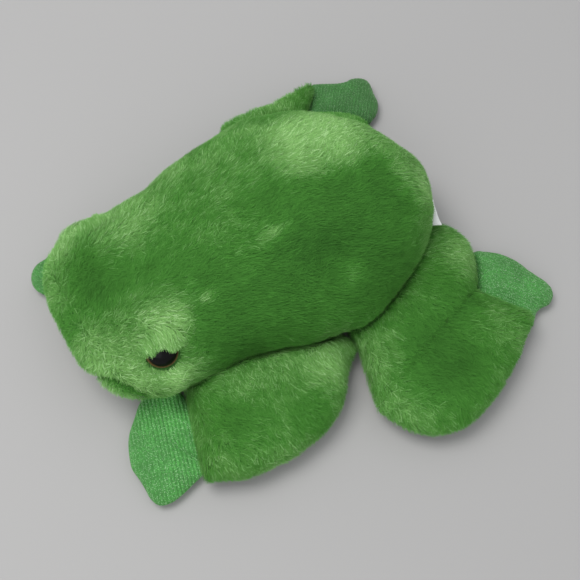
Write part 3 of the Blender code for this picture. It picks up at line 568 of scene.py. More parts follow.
def held_this_side(loop, start, end, keep, ease=0.0):
    """Points that lie past the line from start to end are brought back onto it."""
    along = (end - start) / np.linalg.norm(end - start)
    away = np.array([along[1], -along[0]])
    away = -away if np.dot(keep - start, away) > 0 else away
    past = np.maximum((loop - start) @ away - ease, 0.0)
    return loop - past[:, None] * away


def held_outside(loop, inner, centre):
    """Points that lie inside the inner loop are pushed out onto it, away from the centre."""
    reach = loop_reach(inner, centre, loop[:, 0], loop[:, 1])
    distance = lengths(loop - centre)
    return centre + (loop - centre) * (np.maximum(distance, reach) / distance)[:, None]


def limb_form(points, seam_height, rise, body, seam=None, knee=None):
    """A limb's pillow: cut off at its seam, kept on its side of the knee and pressed by the body."""
    loop = smooth_loop(points, LOOP_POINTS)
    loop = even_loop(loop if seam is None else held_this_side(loop, *seam), LOOP_POINTS)
    return Pillow(loop, loop.mean(axis=0), seam_height, lambda x, y: rise, top_power=3.4, body=body,
                  skirt=grown_loop(body.outline, -TUCK_DEPTH), wall=knee)


def pad_form(points, thickness, start, end, keep):
    """A knitted pad: a thin pillow with a flat top, which ends a little way inside its limb."""
    loop = smooth_loop(points, LOOP_POINTS)
    loop = even_loop(held_this_side(loop, start, end, keep, PAD_TUCK_LENGTH), LOOP_POINTS)
    return Pillow(loop, loop.mean(axis=0), thickness / 2, lambda x, y: thickness / 2, 6.0, 6.0)


def arm_forms(side, body):
    """The arm's and the hand's pillows, with the wrist line."""
    line = HingeLine(body, side, SHOULDER_SLANT, -ARM_FRONT_DISTANCE, ARM_SPAN)
    spread, slope = ARM_SPREAD["left"], math.tan(WRIST_SLANT)
    wrist = (line.point(-LIMB_TUCK_DEPTH, WRIST_SETBACK_DISTANCE - LIMB_TUCK_DEPTH * slope),
             line.point(spread, WRIST_SETBACK_DISTANCE + spread * slope))
    behind, before = line.point(0.0, ARM_SPAN), line.point(0.0, -ARM_SPAN)
    points = [line.point(out * (ARM_SPREAD[side] if out > 0 else LIMB_TUCK_DEPTH), along * ARM_SPAN)
              for out, along in ARM_OUTLINE_SHARES]
    arm = limb_form(points, ARM_SEAM_HEIGHT, ARM_CROWN_HEIGHT[side], body, seam=(*wrist, behind))
    hand = pad_form(np.array(HAND_OUTLINES[side]) * MM, HAND_THICKNESS, *wrist, before)
    hand.body = body
    return arm, hand, wrist


def leg_forms(side, body):
    """The thigh's, shank's and foot's pillows, with the ankle line."""
    line = HingeLine(body, side, HIP_SLANT, HIP_FRONT_DISTANCE, LEG_SPAN)

    def place(out, along, tuck_shares=LEG_TUCK_SHARES[side]):
        front_share, rear_share = tuck_shares
        along *= LEG_FRONT_SHARE[side] if along < 0 else 1.0
        tucked = front_share + (rear_share - front_share) * min(1.0, max(0.0, along))
        out *= LEG_SPREAD * tucked if out > 0 else LIMB_TUCK_DEPTH
        return line.point(out, along * LEG_SPAN)

    def form(outline_shares, keep, seam=None):
        points = [place(*shares) for shares in outline_shares]
        return limb_form(points, LEG_SEAM_HEIGHT, LEG_CROWN_HEIGHT, body, seam, (*knee, keep, -KNEE_GAP))

    knee = [place(*shares) for shares in KNEE_LINE_SHARES]
    forward = ANKLE_FORWARD_SHARE[side]
    ankle = [place(out, along - forward) for out, along in ANKLE_LINE_SHARES]
    thigh = form(THIGH_OUTLINE_SHARES, line.point(0.0, 0.0))
    shank = form(SHANK_OUTLINE_SHARES, line.point(2 * LEG_SPREAD, 0.0), (*ankle, knee[0]))
    ankle_share = ANKLE_LINE_SHARES[0][1]
    points = [place(out, along - (forward if along < ankle_share else 0.0), FOOT_TUCK_SHARES[side])
              for out, along in FOOT_OUTLINE_SHARES]
    foot = pad_form(points, FOOT_THICKNESS, *ankle, line.point(0.0, 2 * LEG_SPAN))
    foot.outline = held_outside(foot.outline, grown_loop(thigh.outline, FOOT_GAP), thigh.centre)
    foot.centre = foot.outline.mean(axis=0)
    return thigh, shank, foot, ankle


# Meshes

@dataclass
class Skin:
    """Points and triangles of a closed surface, with a normal at every point."""

    points: np.ndarray
    faces: np.ndarray
    normals: np.ndarray


def closed_skin(grid):
    """A grid of rings becomes one closed surface, with a point on each pole."""
    rows, count = grid.shape[:2]
    points = np.vstack([grid[1:-1].reshape(-1, 3), grid[0].mean(axis=0), grid[-1].mean(axis=0)])
    index = np.arange((rows - 2) * count).reshape(rows - 2, count)
    after = np.roll(index, -1, 1)
    a, b, c, d = index[:-1], after[:-1], after[1:], index[1:]
    top, bottom = (np.full(count, len(points) - back) for back in (2, 1))
    faces = np.vstack([
        np.stack([a, c, b], -1).reshape(-1, 3), np.stack([a, d, c], -1).reshape(-1, 3),
        np.column_stack([index[0], after[0], top]), np.column_stack([after[-1], index[-1], bottom]),
    ])
    corners = points[faces]
    volume = np.einsum("ij,ij->i", corners[:, 0], np.cross(corners[:, 1], corners[:, 2])).sum()
    faces = faces[:, ::-1] if volume < 0 else faces
    return Skin(points, faces, point_normals(points, faces))


def area_normals(corners):
    """Each triangle's normal, as long as twice its area."""
    return np.cross(corners[:, 1] - corners[:, 0], corners[:, 2] - corners[:, 0])


def point_normals(points, faces):
    """Each point's normal is the sum of its faces' area normals, made unit length."""
    across = area_normals(points[faces])
    normals = np.zeros_like(points)
    for corner in range(3):
        np.add.at(normals, faces[:, corner], across)
    return unit(normals, 1e-12)


def mesh_object(name, points, faces, material):
    """An object from points and faces with equally many corners, smooth shaded."""
    mesh = bpy.data.meshes.new(name)
    mesh.vertices.add(len(points))
    mesh.vertices.foreach_set("co", np.ascontiguousarray(points, dtype=np.float32).reshape(-1))
    mesh.loops.add(faces.size)
    mesh.loops.foreach_set("vertex_index", faces.reshape(-1).astype(np.int32))
    mesh.polygons.add(len(faces))
    mesh.polygons.foreach_set("loop_start", np.arange(0, faces.size, faces.shape[1], dtype=np.int32))
    mesh.update(calc_edges=True)
    mesh.validate()
    mesh.shade_smooth()
    mesh.materials.append(material)
    thing = bpy.data.objects.new(name, mesh)
    bpy.context.scene.collection.objects.link(thing)
    return thing


def point_attributes(thing, **values):
    """Gives every point of the mesh a number under each name, for its material to read."""
    for name, numbers in values.items():
        attribute = thing.data.attributes.new(name, "FLOAT", "POINT")
        attribute.data.foreach_set("value", np.ascontiguousarray(numbers, dtype=np.float32))


def lattice_noise(points, size, seed):
    """Smooth noise from -1 to 1: random values on a lattice, eased between its corners."""
    place = points / size
    cell = np.floor(place).astype(np.int64)
    part = eased(1.0, place - cell)
    total = np.zeros(len(points))
    for corner in range(8):
        step = np.array([corner & 1, corner >> 1 & 1, corner >> 2 & 1])
        at = cell + step
        mixed = at[:, 0] * 73856093 ^ at[:, 1] * 19349663 ^ at[:, 2] * 83492791 ^ seed * 2654435761
        mixed = (mixed ^ mixed >> 13) * 1274126177 & 0xFFFFFF
        weight = np.prod(np.where(step == 1, part, 1 - part), axis=1)
        total += weight * (mixed / 0x7FFFFF - 1.0)
    return total


def layered_noise(points, layers):
    """The sum of strength * noise over layers of strength, size in millimetres and seed."""
    return sum(strength * lattice_noise(points, size * MM, seed) for strength, size, seed in layers)


def noise_directions(points, size, seed):
    """A vector for each point, from three noises."""
    return np.column_stack([lattice_noise(points, size, seed + axis) for axis in range(3)])


def add_patches(values, points, patches, scale=1.0):
    """Adds round patches to the values: strength * scale * exp(-distance^2 / 2 radius^2)."""
    for x, y, z, radius, strength in patches:
        away = points - np.array((x, y, z)) * MM
        values += strength * scale * np.exp(-0.5 * np.sum(away**2, axis=1) / (radius * MM) ** 2)
    return values


@dataclass
class Pile:
    """How the fibres of one piece grow."""

    flow: Callable  # the way that the nap runs at each root
    patches: tuple  # where sheen and shade are painted on it
    keep: Callable = None  # which roots are kept
    room: Callable = None  # how long a fibre may be
    shape: Callable = None  # changes length, nap, lift and the painted light near eyes and mouth
    length_share: float = 1.0
    density_share: float = 1.0


def scattered_roots(skin, settings, density_share, random):
    """Roots spread evenly over the skin's area, more thinly underneath, with the skin's normals."""
    corners = skin.points[skin.faces]
    areas = 0.5 * lengths(area_normals(corners))
    facing = skin.normals[skin.faces].mean(axis=1)[:, 2]
    density = np.where(facing > -0.15, settings.density, settings.under_density) * density_share
    wanted = areas * density / MM**2
    face = np.repeat(np.arange(len(wanted)), np.floor(wanted + random.random(len(wanted))).astype(int))
    first, second = random.random((2, len(face)))
    first = np.sqrt(first)
    weights = np.column_stack([1 - first, first * (1 - second), first * second])
    root = np.einsum("ij,ijk->ik", weights, corners[face])
    return root, unit(np.einsum("ij,ijk->ik", weights, skin.normals[skin.faces[face]]))


def grow_pile(name, skin, settings, material, pile, seed):
    """Flat tapered fibres on a skin.

    Each is a quad from its root to root + length * (lift * normal + lean * nap), with lift^2 + lean^2 = 1.
    It lies square to the nap, so that its outer face looks outwards, and is half as wide at its end.
    """
    random = np.random.default_rng(seed)
    root, normal = scattered_roots(skin, settings, pile.density_share, random)
    length = settings.length * pile.length_share * random.uniform(*FIBRE_LENGTHS, len(root))
    if pile.room is not None:
        length = np.minimum(length, pile.room(root, normal))
    down = np.maximum(-normal[:, 2], 0.05)
    to_floor = (root[:, 2] - 0.1 * MM) / (0.72 * down)
    length = np.where(normal[:, 2] < 0, np.minimum(length, to_floor), length)
    chosen = length > SHORTEST_FIBRE
    if pile.keep is not None:
        chosen &= pile.keep(root)
    root, normal, length = root[chosen], normal[chosen], length[chosen]
    count = len(root)
    swirl = noise_directions(root, SWIRL_SIZE, 107)
    clump = noise_directions(root, CLUMP_SIZE, 110)
    nap = pile.flow(root) + SWIRL_SHARE * swirl + CLUMP_SHARE * clump
    nap = nap + STRAY_SHARE * random.normal(size=(count, 3))
    # painted sheen and painted shade on the pile: a level, noise and round patches
    light = add_patches(PAINTED_LIGHT_LEVEL + layered_noise(root, PAINTED_LIGHT_NOISE), root, pile.patches)
    lift = FIBRE_LIFT + layered_noise(root, LIFT_NOISE) + 0.04 * random.normal(size=count)
    layer = random.random(count)
    if pile.shape is not None:
        length, nap, lift, light = pile.shape(root, length, nap, lift, light)
    nap = unit(nap - np.sum(nap * normal, axis=1, keepdims=True) * normal)
    lift = np.clip(lift, *LIFT_LIMITS)[:, None]
    raised = np.minimum(LAYER_HEIGHT, 0.6 * length) * layer * ramp(normal[:, 2] * 2 + 1.3)
    root = root + normal * raised[:, None]
    tip = root + length[:, None] * (lift * normal + np.sqrt(1 - lift**2) * nap)
    tip[:, 2] = np.maximum(tip[:, 2], 0.15 * MM)
    across = unit(np.cross(normal, nap) + 0.25 * nap * random.normal(size=(count, 1)))
    shade = random.random(count)
    # fibres that get painted glints are made a little wider
    half = 0.5 * settings.width * (random.uniform(*FIBRE_WIDTHS, count) + 0.4 * (shade > 0.87))[:, None]
    thing = fibre_mesh(name, root - normal * ROOT_DEPTH, tip, across * half, normal, material)
    facing = unit(normal + 0.10 * random.normal(size=(count, 3)) - 0.18 * nap)
    thing.data.normals_split_custom_set_from_vertices(np.repeat(facing, 4, axis=0))
    # along_fibre runs from root to tip; the material darkens the roots as painted shade, less where a root is
    # raised higher in the pile
    foot = 0.7 * layer
    end = np.ones(count)
    point_attributes(thing, along_fibre=np.stack([foot, foot, end, end], axis=1).reshape(-1),
                     nap_light=np.repeat(light, 4), fibre_shade=np.repeat(shade, 4))
    return thing


def fibre_mesh(name, root, tip, half, normal, material):
    """A quad for each fibre, turned to face outwards, and a UV map with a small square for each."""
    points = np.stack([root - half, root + half, tip + half * 0.5, tip - half * 0.5], axis=1)
    outer = np.cross(points[:, 2] - points[:, 0], points[:, 3] - points[:, 1])
    turned = np.sum(outer * normal, axis=1) < 0
    points[turned] = points[turned][:, [1, 0, 3, 2]]
    count = len(root)
    thing = mesh_object(name, points.reshape(-1, 3), np.arange(count * 4).reshape(-1, 4), material)
    side = math.ceil(math.sqrt(count))
    corner = np.stack([np.arange(count) % side, np.arange(count) // side], axis=1)[:, None, :]
    quad = np.array([[0.1, 0.1], [0.9, 0.1], [0.9, 0.9], [0.1, 0.9]])
    layer = thing.data.uv_layers.new(name="OFBake")
    layer.uv.foreach_set("vector", ((corner + quad) / side).astype(np.float32).reshape(-1))
    return thing


# Materials

def shaded(colour, share):
    """The colour made darker, or lighter where the share is over 1."""
    return tuple(min(1.0, part * share) for part in colour)


class Nodes:
    """Short calls for building a material's node tree."""

    def __init__(self, name):
        self.material = bpy.data.materials.new(name)
        self.material.use_nodes = True
        self.tree = self.material.node_tree
        self.shader = self.tree.nodes["Principled BSDF"]

    def add(self, kind, inputs=(), **settings):
        """A node of this kind, with its settings, and with links or values on its inputs."""
        node = self.tree.nodes.new(kind)
        for name, value in settings.items():
            setattr(node, name, value)
        for key, value in dict(inputs).items():
            self.feed(node.inputs[key], value)
        return node

    def feed(self, socket, value):
        """Links the socket to another, or gives it a number or a colour."""
        if isinstance(value, bpy.types.NodeSocket):
            self.tree.links.new(value, socket)
        elif socket.type == "RGBA" and len(value) == 3:
            socket.default_value = (*value, 1.0)
        else:
            socket.default_value = value

    def attribute(self, name):
        return self.add("ShaderNodeAttribute", attribute_name=name).outputs["Fac"]

    def place(self):
        return self.add("ShaderNodeTexCoord").outputs["Object"]

    def math(self, operation, first, second=0.0, clamp=False):
        inputs = {0: first, 1: second}
        return self.add("ShaderNodeMath", inputs, operation=operation, use_clamp=clamp).outputs[0]

    def times(self, first, second, clamp=False):
        return self.math("MULTIPLY", first, second, clamp)

    def plus(self, first, second):
        return self.math("ADD", first, second)

    def scaled(self, value, factor, offset):
        """value * factor + offset, held between 0 and 1."""
        inputs = {0: value, 1: factor, 2: offset}
        return self.add("ShaderNodeMath", inputs, operation="MULTIPLY_ADD", use_clamp=True).outputs[0]

    def mix(self, share, first, second, blend="MIX"):
        inputs = {"Factor": share, "A": first, "B": second}
        return self.add("ShaderNodeMix", inputs, data_type="RGBA", blend_type=blend).outputs["Result"]

    def toned(self, colour, tone):
        """The colour times a plain number."""
        grey = self.add("ShaderNodeCombineColor", {"Red": tone, "Green": tone, "Blue": tone})
        return self.mix(1.0, colour, grey.outputs["Color"], "MULTIPLY")

    def noise(self, scale, detail=2.0, vector=None):
        inputs = {"Vector": vector or self.place(), "Scale": scale, "Detail": detail}
        return self.add("ShaderNodeTexNoise", inputs).outputs["Fac"]

    def bump(self, height, distance, strength=1.0):
        inputs = {"Height": height, "Distance": distance, "Strength": strength}
        self.feed(self.shader.inputs["Normal"], self.add("ShaderNodeBump", inputs).outputs["Normal"])

    def finish(self, colour, roughness, **sockets):
        """Feeds the shader: sheen_weight stands for its socket Sheen Weight, and so on."""
        self.feed(self.shader.inputs["Base Color"], colour)
        self.feed(self.shader.inputs["Roughness"], roughness)
        for name, value in sockets.items():
            self.feed(self.shader.inputs[name.replace("_", " ").title().replace("Ior", "IOR")], value)
        return self.material


def pile_material(name, colours):
    """Painted shade deep green at the roots, lighter along the fibre; painted sheen and painted shade by the
    nap mask; painted glints.
    """
    nodes = Nodes(name)
    along, light, shade = (nodes.attribute(key) for key in ("along_fibre", "nap_light", "fibre_shade"))
    # painted shade: darker towards the roots, deep in the pile
    colour = nodes.mix(nodes.scaled(along, 0.85, 0.15), colours.deep, colours.green)
    painted_light_and_tone = nodes.plus(light, nodes.scaled(shade, 0.24, -0.12))
    # painted sheen towards the pale colour, stronger towards the tips
    sheen_share = nodes.times(nodes.scaled(painted_light_and_tone, 0.95, -0.04), nodes.scaled(along, 0.55, 0.45), True)
    colour = nodes.mix(sheen_share, colour, colours.bright)
    # painted shade towards the deep colour where the painted light is below zero
    colour = nodes.mix(nodes.scaled(painted_light_and_tone, -0.75, 0.0), colour, colours.deep)
    # painted glints: a pale colour on a few fibres, brighter where the painted light is high
    glint = nodes.times(nodes.scaled(shade, 9.0, -7.6), nodes.scaled(light, 0.8, 0.12))
    colour = nodes.mix(nodes.times(glint, along), colour, (0.60, 0.88, 0.44))
    colour = nodes.toned(colour, nodes.scaled(shade, 0.36, 0.82))
    return nodes.finish(colour, 0.68, sheen_weight=0.28, sheen_roughness=0.4, sheen_tint=(0.62, 1.0, 0.36),
                        specular_ior_level=0.1)


def backing_material(name, colours):
    """The knitted cloth that the fibres stand in: its green painted dark as the shade deep in the pile, with
    a fine mesh of loops.
    """
    nodes = Nodes(name)
    place = nodes.place()
    loops = nodes.add("ShaderNodeTexVoronoi", {"Vector": place, "Scale": 900.0}).outputs["Distance"]
    # painted shade: the cloth's colours are darkened copies of the plush's
    tone = nodes.mix(nodes.noise(140.0, 3.0, place), shaded(colours.deep, 0.55), colours.deep)
    nodes.bump(loops, 0.0004, 0.6)
    return nodes.finish(nodes.mix(loops, tone, shaded(colours.green, 0.5)), 0.95)


def knit_material(name, colours, knit):
    """Ribs |sin(pi * across / pitch)| and rows of stitches, worn flat in patches, with painted shade in
    grooves and where the fuzz sinks, painted glints and a painted tone per pad.
    """
    nodes = Nodes(name)
    place = nodes.place()
    across, along = nodes.attribute("rib_across"), nodes.attribute("rib_along")
    rib = nodes.math("ABSOLUTE", nodes.math("SINE", nodes.times(across, math.pi / knit.rib_pitch)))
    skewed = nodes.plus(along, nodes.times(rib, 0.6 * knit.stitch_pitch))
    stitch = nodes.math("SINE", nodes.times(skewed, 2 * math.pi / knit.stitch_pitch))
    relief = nodes.times(rib, nodes.scaled(nodes.scaled(stitch, 0.5, 0.5), 0.45, 0.55))
    fuzz = nodes.noise(1100.0, 3.0, place)
    patchy = nodes.noise(110.0, 3.0, place)
    worn = nodes.scaled(nodes.noise(70.0, 2.0, place), 2.6, -0.80)
    shown = nodes.plus(relief, nodes.times(worn, nodes.scaled(relief, -0.70, 0.56)))
    # dark is a shaded copy of the knit: painted shade in the grooves between ribs and stitches and where the
    # fine fuzz sinks
    dark, pale = shaded(colours.knit, 0.54), shaded(colours.knit, 1.70)
    colour = nodes.mix(shown, dark, colours.knit)
    colour = nodes.mix(nodes.scaled(patchy, 1.4, -0.45), colour, pale)
    colour = nodes.mix(nodes.scaled(fuzz, 2.2, -0.70), dark, colour)
    # painted glints: tiny pale dots on the knit
    glint = nodes.add("ShaderNodeTexVoronoi", {"Vector": place, "Scale": 1300.0, "Randomness": 1.0})
    spark = nodes.times(nodes.math("LESS_THAN", glint.outputs["Distance"], 0.33),
                        nodes.math("GREATER_THAN", nodes.noise(1700.0, 1.0, place), 0.45))
    colour = nodes.mix(nodes.times(spark, 0.75), colour, (0.40, 0.72, 0.36))
    # painted light and shade: each pad's own tone, lighter near the cheek's shadow
    colour = nodes.toned(colour, nodes.attribute("pad_tone"))
    nodes.bump(nodes.plus(shown, nodes.times(fuzz, 0.6)), 0.00045, 0.9)
    return nodes.finish(colour, 0.70, sheen_weight=0.30, sheen_roughness=0.5, sheen_tint=(0.7, 1.0, 0.6),
                        specular_ior_level=0.3)


def eye_material(name, colours, eyes):
    """A black pupil inside a thin amber ring with dark flecks, under one glossy dome."""
    nodes = Nodes(name)
    radius = nodes.attribute("eye_radius")
    ring = nodes.mix(nodes.noise(700.0, 4.0), shaded(colours.amber, 0.45), shaded(colours.amber, 1.5))
    edge = nodes.scaled(radius, 8.0, -8.0 * eyes.pupil_share)
    rim = nodes.scaled(radius, 30.0, -30.0 * 1.10)
    colour = nodes.mix(edge, (0.003, 0.003, 0.003), ring)
    colour = nodes.mix(rim, colour, (0.010, 0.006, 0.004))
    return nodes.finish(colour, 0.30, coat_weight=0.17, coat_roughness=0.03, specular_ior_level=0.08)


def washer_material(name):
    """Milky moulded plastic with faint flow marks."""
    nodes = Nodes(name)
    haze = nodes.noise(260.0, 3.0)
    nodes.bump(haze, 0.00008, 0.5)
    return nodes.finish(nodes.mix(haze, (0.72, 0.72, 0.69), (0.84, 0.84, 0.82)), 0.42)


def label_material(name):
    """White satin tape: fine crosswise threads and soft creases, painted a little darker where the creases
    sink, as shade.
    """
    nodes = Nodes(name)
    place = nodes.place()
    threads = nodes.add("ShaderNodeTexWave", {"Vector": place, "Scale": 900.0, "Distortion": 0.6})
    crease = nodes.noise(220.0, 2.0, place)
    nodes.bump(nodes.plus(nodes.times(threads.outputs["Fac"], 0.4), crease), 0.0002, 0.6)
    return nodes.finish(nodes.mix(crease, (0.86, 0.86, 0.85), (0.95, 0.95, 0.94)), 0.45, sheen_weight=0.3)


def floor_material(name, colours):
    """Plain matt surface with the faintest unevenness."""
    nodes = Nodes(name)
    colour = nodes.mix(nodes.noise(1.6, 1.0), shaded(colours.floor, 0.94), shaded(colours.floor, 1.06))
    return nodes.finish(colour, 0.85, specular_ior_level=0.15)


# Pieces

def stuffed(skin, noise_layers, patches):
    """The skin moved along its normals by noise and by round patches of stuffing; the base stays flat."""
    height = layered_noise(skin.points, noise_layers)
    height = height * ramp(skin.points[:, 2] - 4 * MM, 10 * MM)
    height = add_patches(height, skin.points, patches, MM)
    points = skin.points + skin.normals * height[:, None]
    points[:, 2] = np.maximum(points[:, 2], FLOOR_LIFT)
    return Skin(points, skin.faces, point_normals(points, skin.faces))


def mouth_share(points):
    """1 in the mouth's fold and 0 away from it: exp(-(distance from the mouth's line)^2 / 2 spread^2)."""
    angle, height = np.array(MOUTH_LINE).T
    x, y, z = points.T
    turn = np.degrees(np.arctan2(np.abs(x - head_sway(y)), -y - NECK_DISTANCE))
    away = z - np.interp(turn, angle, height) * MM
    strength = ramp(66 - turn, 14) * np.maximum(ramp(turn - 20, 16), 0.5)
    return np.exp(-0.5 * (away / MOUTH_SPREAD) ** 2) * strength


def torso_skin(body, depth):
    """Body and head in one closed skin, with the mouth's fold under the upper lip and soft unevenness."""
    grid = body.grid(*TORSO_RINGS, depth)
    flat = grid.reshape(-1, 3)
    below = ramp(SEAM_HEIGHT - flat[:, 2], 3 * MM)
    ahead = ramp(-flat[:, 1] - NECK_DISTANCE, HEAD_LENGTH)
    ahead = ahead * (2 - ahead)
    inward = LIP_SETBACK_DEPTH * ahead * below + MOUTH_DEPTH * mouth_share(flat)
    flat[:, :2] -= unit(flat[:, :2]) * inward[:, None]
    return stuffed(closed_skin(grid), TORSO_LUMPS, STUFFING)


def eye_frames(body):
    """Each eye's place and the way that it looks."""
    frames = {}
    for side, sign in SIDES.items():
        x = sign * EYE_SPACING / 2 + float(head_sway(-EYE_DISTANCE))
        height = float(body.top(np.array([x]), np.array([-EYE_DISTANCE]))[0])
        flat = math.cos(EYE_RISE_ANGLE)
        axis = Vector((sign * flat * math.cos(EYE_FORWARD_ANGLE), -flat * math.sin(EYE_FORWARD_ANGLE),
                       math.sin(EYE_RISE_ANGLE)))
        above = (Vector((0.0, 0.0, 1.0)) - axis * axis.z).normalized()
        place = Vector((x, -EYE_DISTANCE - EYE_SHIFT, height)) - axis * EYE_SEAT_DEPTH[side]
        frames[side] = np.array(place + above * EYE_RAISE[side]), np.array(axis)
    return frames


def off_axis(points, place, axis):
    """The points' distances from an eye's axis, as vectors square to it, and how far along it they lie."""
    away = points - place
    along = away @ axis
    return away - along[:, None] * axis, along


def clear_of_eyes(root, eyes, diameter):
    """Which roots stand outside both eyes' rims, where the brows may reach in a little further."""
    clear = np.ones(len(root), bool)
    for place, axis in eyes.values():
        away, deep = off_axis(root, place, axis)
        side = lengths(away)
        share = RIM_SHARE - BROW_OVERLAP_SHARE * ramp(away[:, 2] / np.maximum(side, 1e-6) * 2)
        clear &= (side > share * diameter) | (np.abs(deep) > 12 * MM)
    return clear


def on_piece(root, name):
    """Which roots belong to a piece of the body's pile, by its limits and its side of the widest line."""
    front, rear = PILE_LIMITS[name]
    below = root[:, 2] <= 0.5 * SEAM_HEIGHT
    return (below == (name == "belly_pile")) & (root[:, 1] >= front) & (root[:, 1] < rear)


def torso_flow(points):
    """The nap runs from the nose back over the rump, and down at the lip and the sides."""
    x, y, z = points.T
    lip = ramp(-y - 100 * MM, 20 * MM) * ramp(46 * MM - z, 12 * MM)
    return np.column_stack([6.0 * x, 1 - 0.8 * lip, -0.25 - 1.2 * lip])


def face_shape(eyes):
    """Fibres lie over the upper edge of each eye like a brow, and are short in the mouth's fold, where their
    colour is painted darker as shade.
    """
    def shape(root, length, nap, lift, light):
        for side, (place, axis) in eyes.items():
            above = unit((np.array([0.0, 0.0, 1.0]) - axis * axis[2])[None])[0]
            away = off_axis(root, place, axis)[0]
            distance = lengths(away)
            away = away / np.maximum(distance, 1e-6)[:, None]
            near = ramp(BROW_REACH - distance, BROW_EASE)
            over = ramp(away @ above - 0.22, 0.45)
            brow, edge = near * over, near * (1 - over)
            nap = nap - brow[:, None] * (2.8 * above + away) + 2.0 * edge[:, None] * away
            length = length * (1 + BROW_EXTRA_LENGTH[side] * brow - 0.45 * edge)
            lift = lift + BROW_EXTRA_LIFT[side] * brow
        fold = mouth_share(root)
        # painted shade: the painted light is lowered in the mouth's fold
        return length * (1 - 0.65 * fold), nap, lift, light - fold
    return shape


def limb_flow(points):
    """On the limbs the nap runs outwards and down."""
    x, y, _ = points.T
    return np.column_stack([np.sign(x) * 0.7, 0.35 + 2.0 * y, np.full(len(points), -0.35)])


def body_room(body):
    """How long a limb's fibre may be under the side of the body."""
    def room(root, normal):
        free = pressed_height(body, root) - root[:, 2] + 1.2 * MM
        x, y = root[:, 0], root[:, 1]
        hidden = loop_reach(body.outline, body.centre, x, y) - np.hypot(x, y)
        free = np.where(hidden > 10 * MM, 0.0, free)
        return np.where((normal[:, 2] > -0.3) & (free < 12 * MM), np.maximum(free, 0.0), UNLIMITED)
    return room


class FrogTorso(Operator):
    """Body and head: one stuffed skin with pile"""

    bl_idname = "frog.torso"
    bl_label = "Body and Head"

    def execute(self, context):
        frog = context.scene.frog
        body = body_pillow()
        skin = torso_skin(body, frog.pile.backing_depth)
        backing = backing_material("torso_backing", frog.colours)
        piece = mesh_object("torso_skin", skin.points, skin.faces, backing)
        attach(piece, "torso")
        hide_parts("back_cover", "belly_cover", "head_cover", "chin_cover",
                    "body_filling", "head_filling")
        plush = pile_material("torso_plush", frog.colours)
        eyes = eye_frames(body)
        for number, name in enumerate(PILE_LIMITS):
            def keep(root, name=name):
                return on_piece(root, name) & clear_of_eyes(root, eyes, frog.eyes.diameter)

            kind = Pile(torso_flow, TORSO_PAINTED_LIGHT, keep=keep, shape=face_shape(eyes))
            pile = grow_pile(name, skin, frog.pile, plush, kind, 20 + number)
            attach(pile, "torso")
        self.brows(skin, frog, plush, eyes)
        return {"FINISHED"}

    def brows(self, skin, frog, plush, eyes):
        """Many more fibres round the upper half of each eye."""
        middle = skin.points[skin.faces].mean(axis=1)
        for side, (place, axis) in eyes.items():
            away, along = off_axis(middle, place, axis)
            near = (lengths(away) < 11 * MM) & (away[:, 2] > -1 * MM) & (np.abs(along) < 10 * MM)
            near &= middle[:, 2] > SEAM_HEIGHT
            part = Skin(skin.points, skin.faces[near], skin.normals)
            kind = Pile(torso_flow, TORSO_PAINTED_LIGHT, shape=face_shape(eyes), density_share=4.5,
                        keep=lambda root: clear_of_eyes(root, eyes, frog.eyes.diameter))
            pile = grow_pile(f"brow_{side}_pile", part, frog.pile, plush, kind, 60)
            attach(pile, "torso")


class FrogLimbs(Operator):
    """Arms, thighs and shanks: stuffed skins with pile"""

    bl_idname = "frog.limbs"
    bl_label = "Arms and Legs"

    def execute(self, context):
        frog = context.scene.frog
        body = body_pillow()
        backing = backing_material("limb_backing", frog.colours)
        plush = pile_material("limb_plush", frog.colours)
        for number, side in enumerate(SIDES):
            forms = arm_forms(side, body)[:1] + leg_forms(side, body)[:2]
            for step, (limb, form) in enumerate(zip(("arm", "thigh", "shank"), forms)):
                name, seed = f"{limb}_{side}", 40 + 3 * number + step
                depth, length_share = LIMB_PILE[name]
                skin = closed_skin(form.grid(*LIMB_RINGS, depth * MM))
                skin = stuffed(skin, ((0.5 * MM, 14, seed),), LIMB_STUFFING)
                piece = mesh_object(f"{name}_skin", skin.points, skin.faces, backing)
                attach(piece, name)
                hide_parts(f"{name}_upper_cover", f"{name}_under_cover", f"{name}_filling")
                kind = Pile(limb_flow, LIMB_PAINTED_LIGHT, room=body_room(body), length_share=length_share)
                pile = grow_pile(f"{name}_pile", skin, frog.pile, plush, kind, seed)
                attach(pile, name)
        return {"FINISHED"}


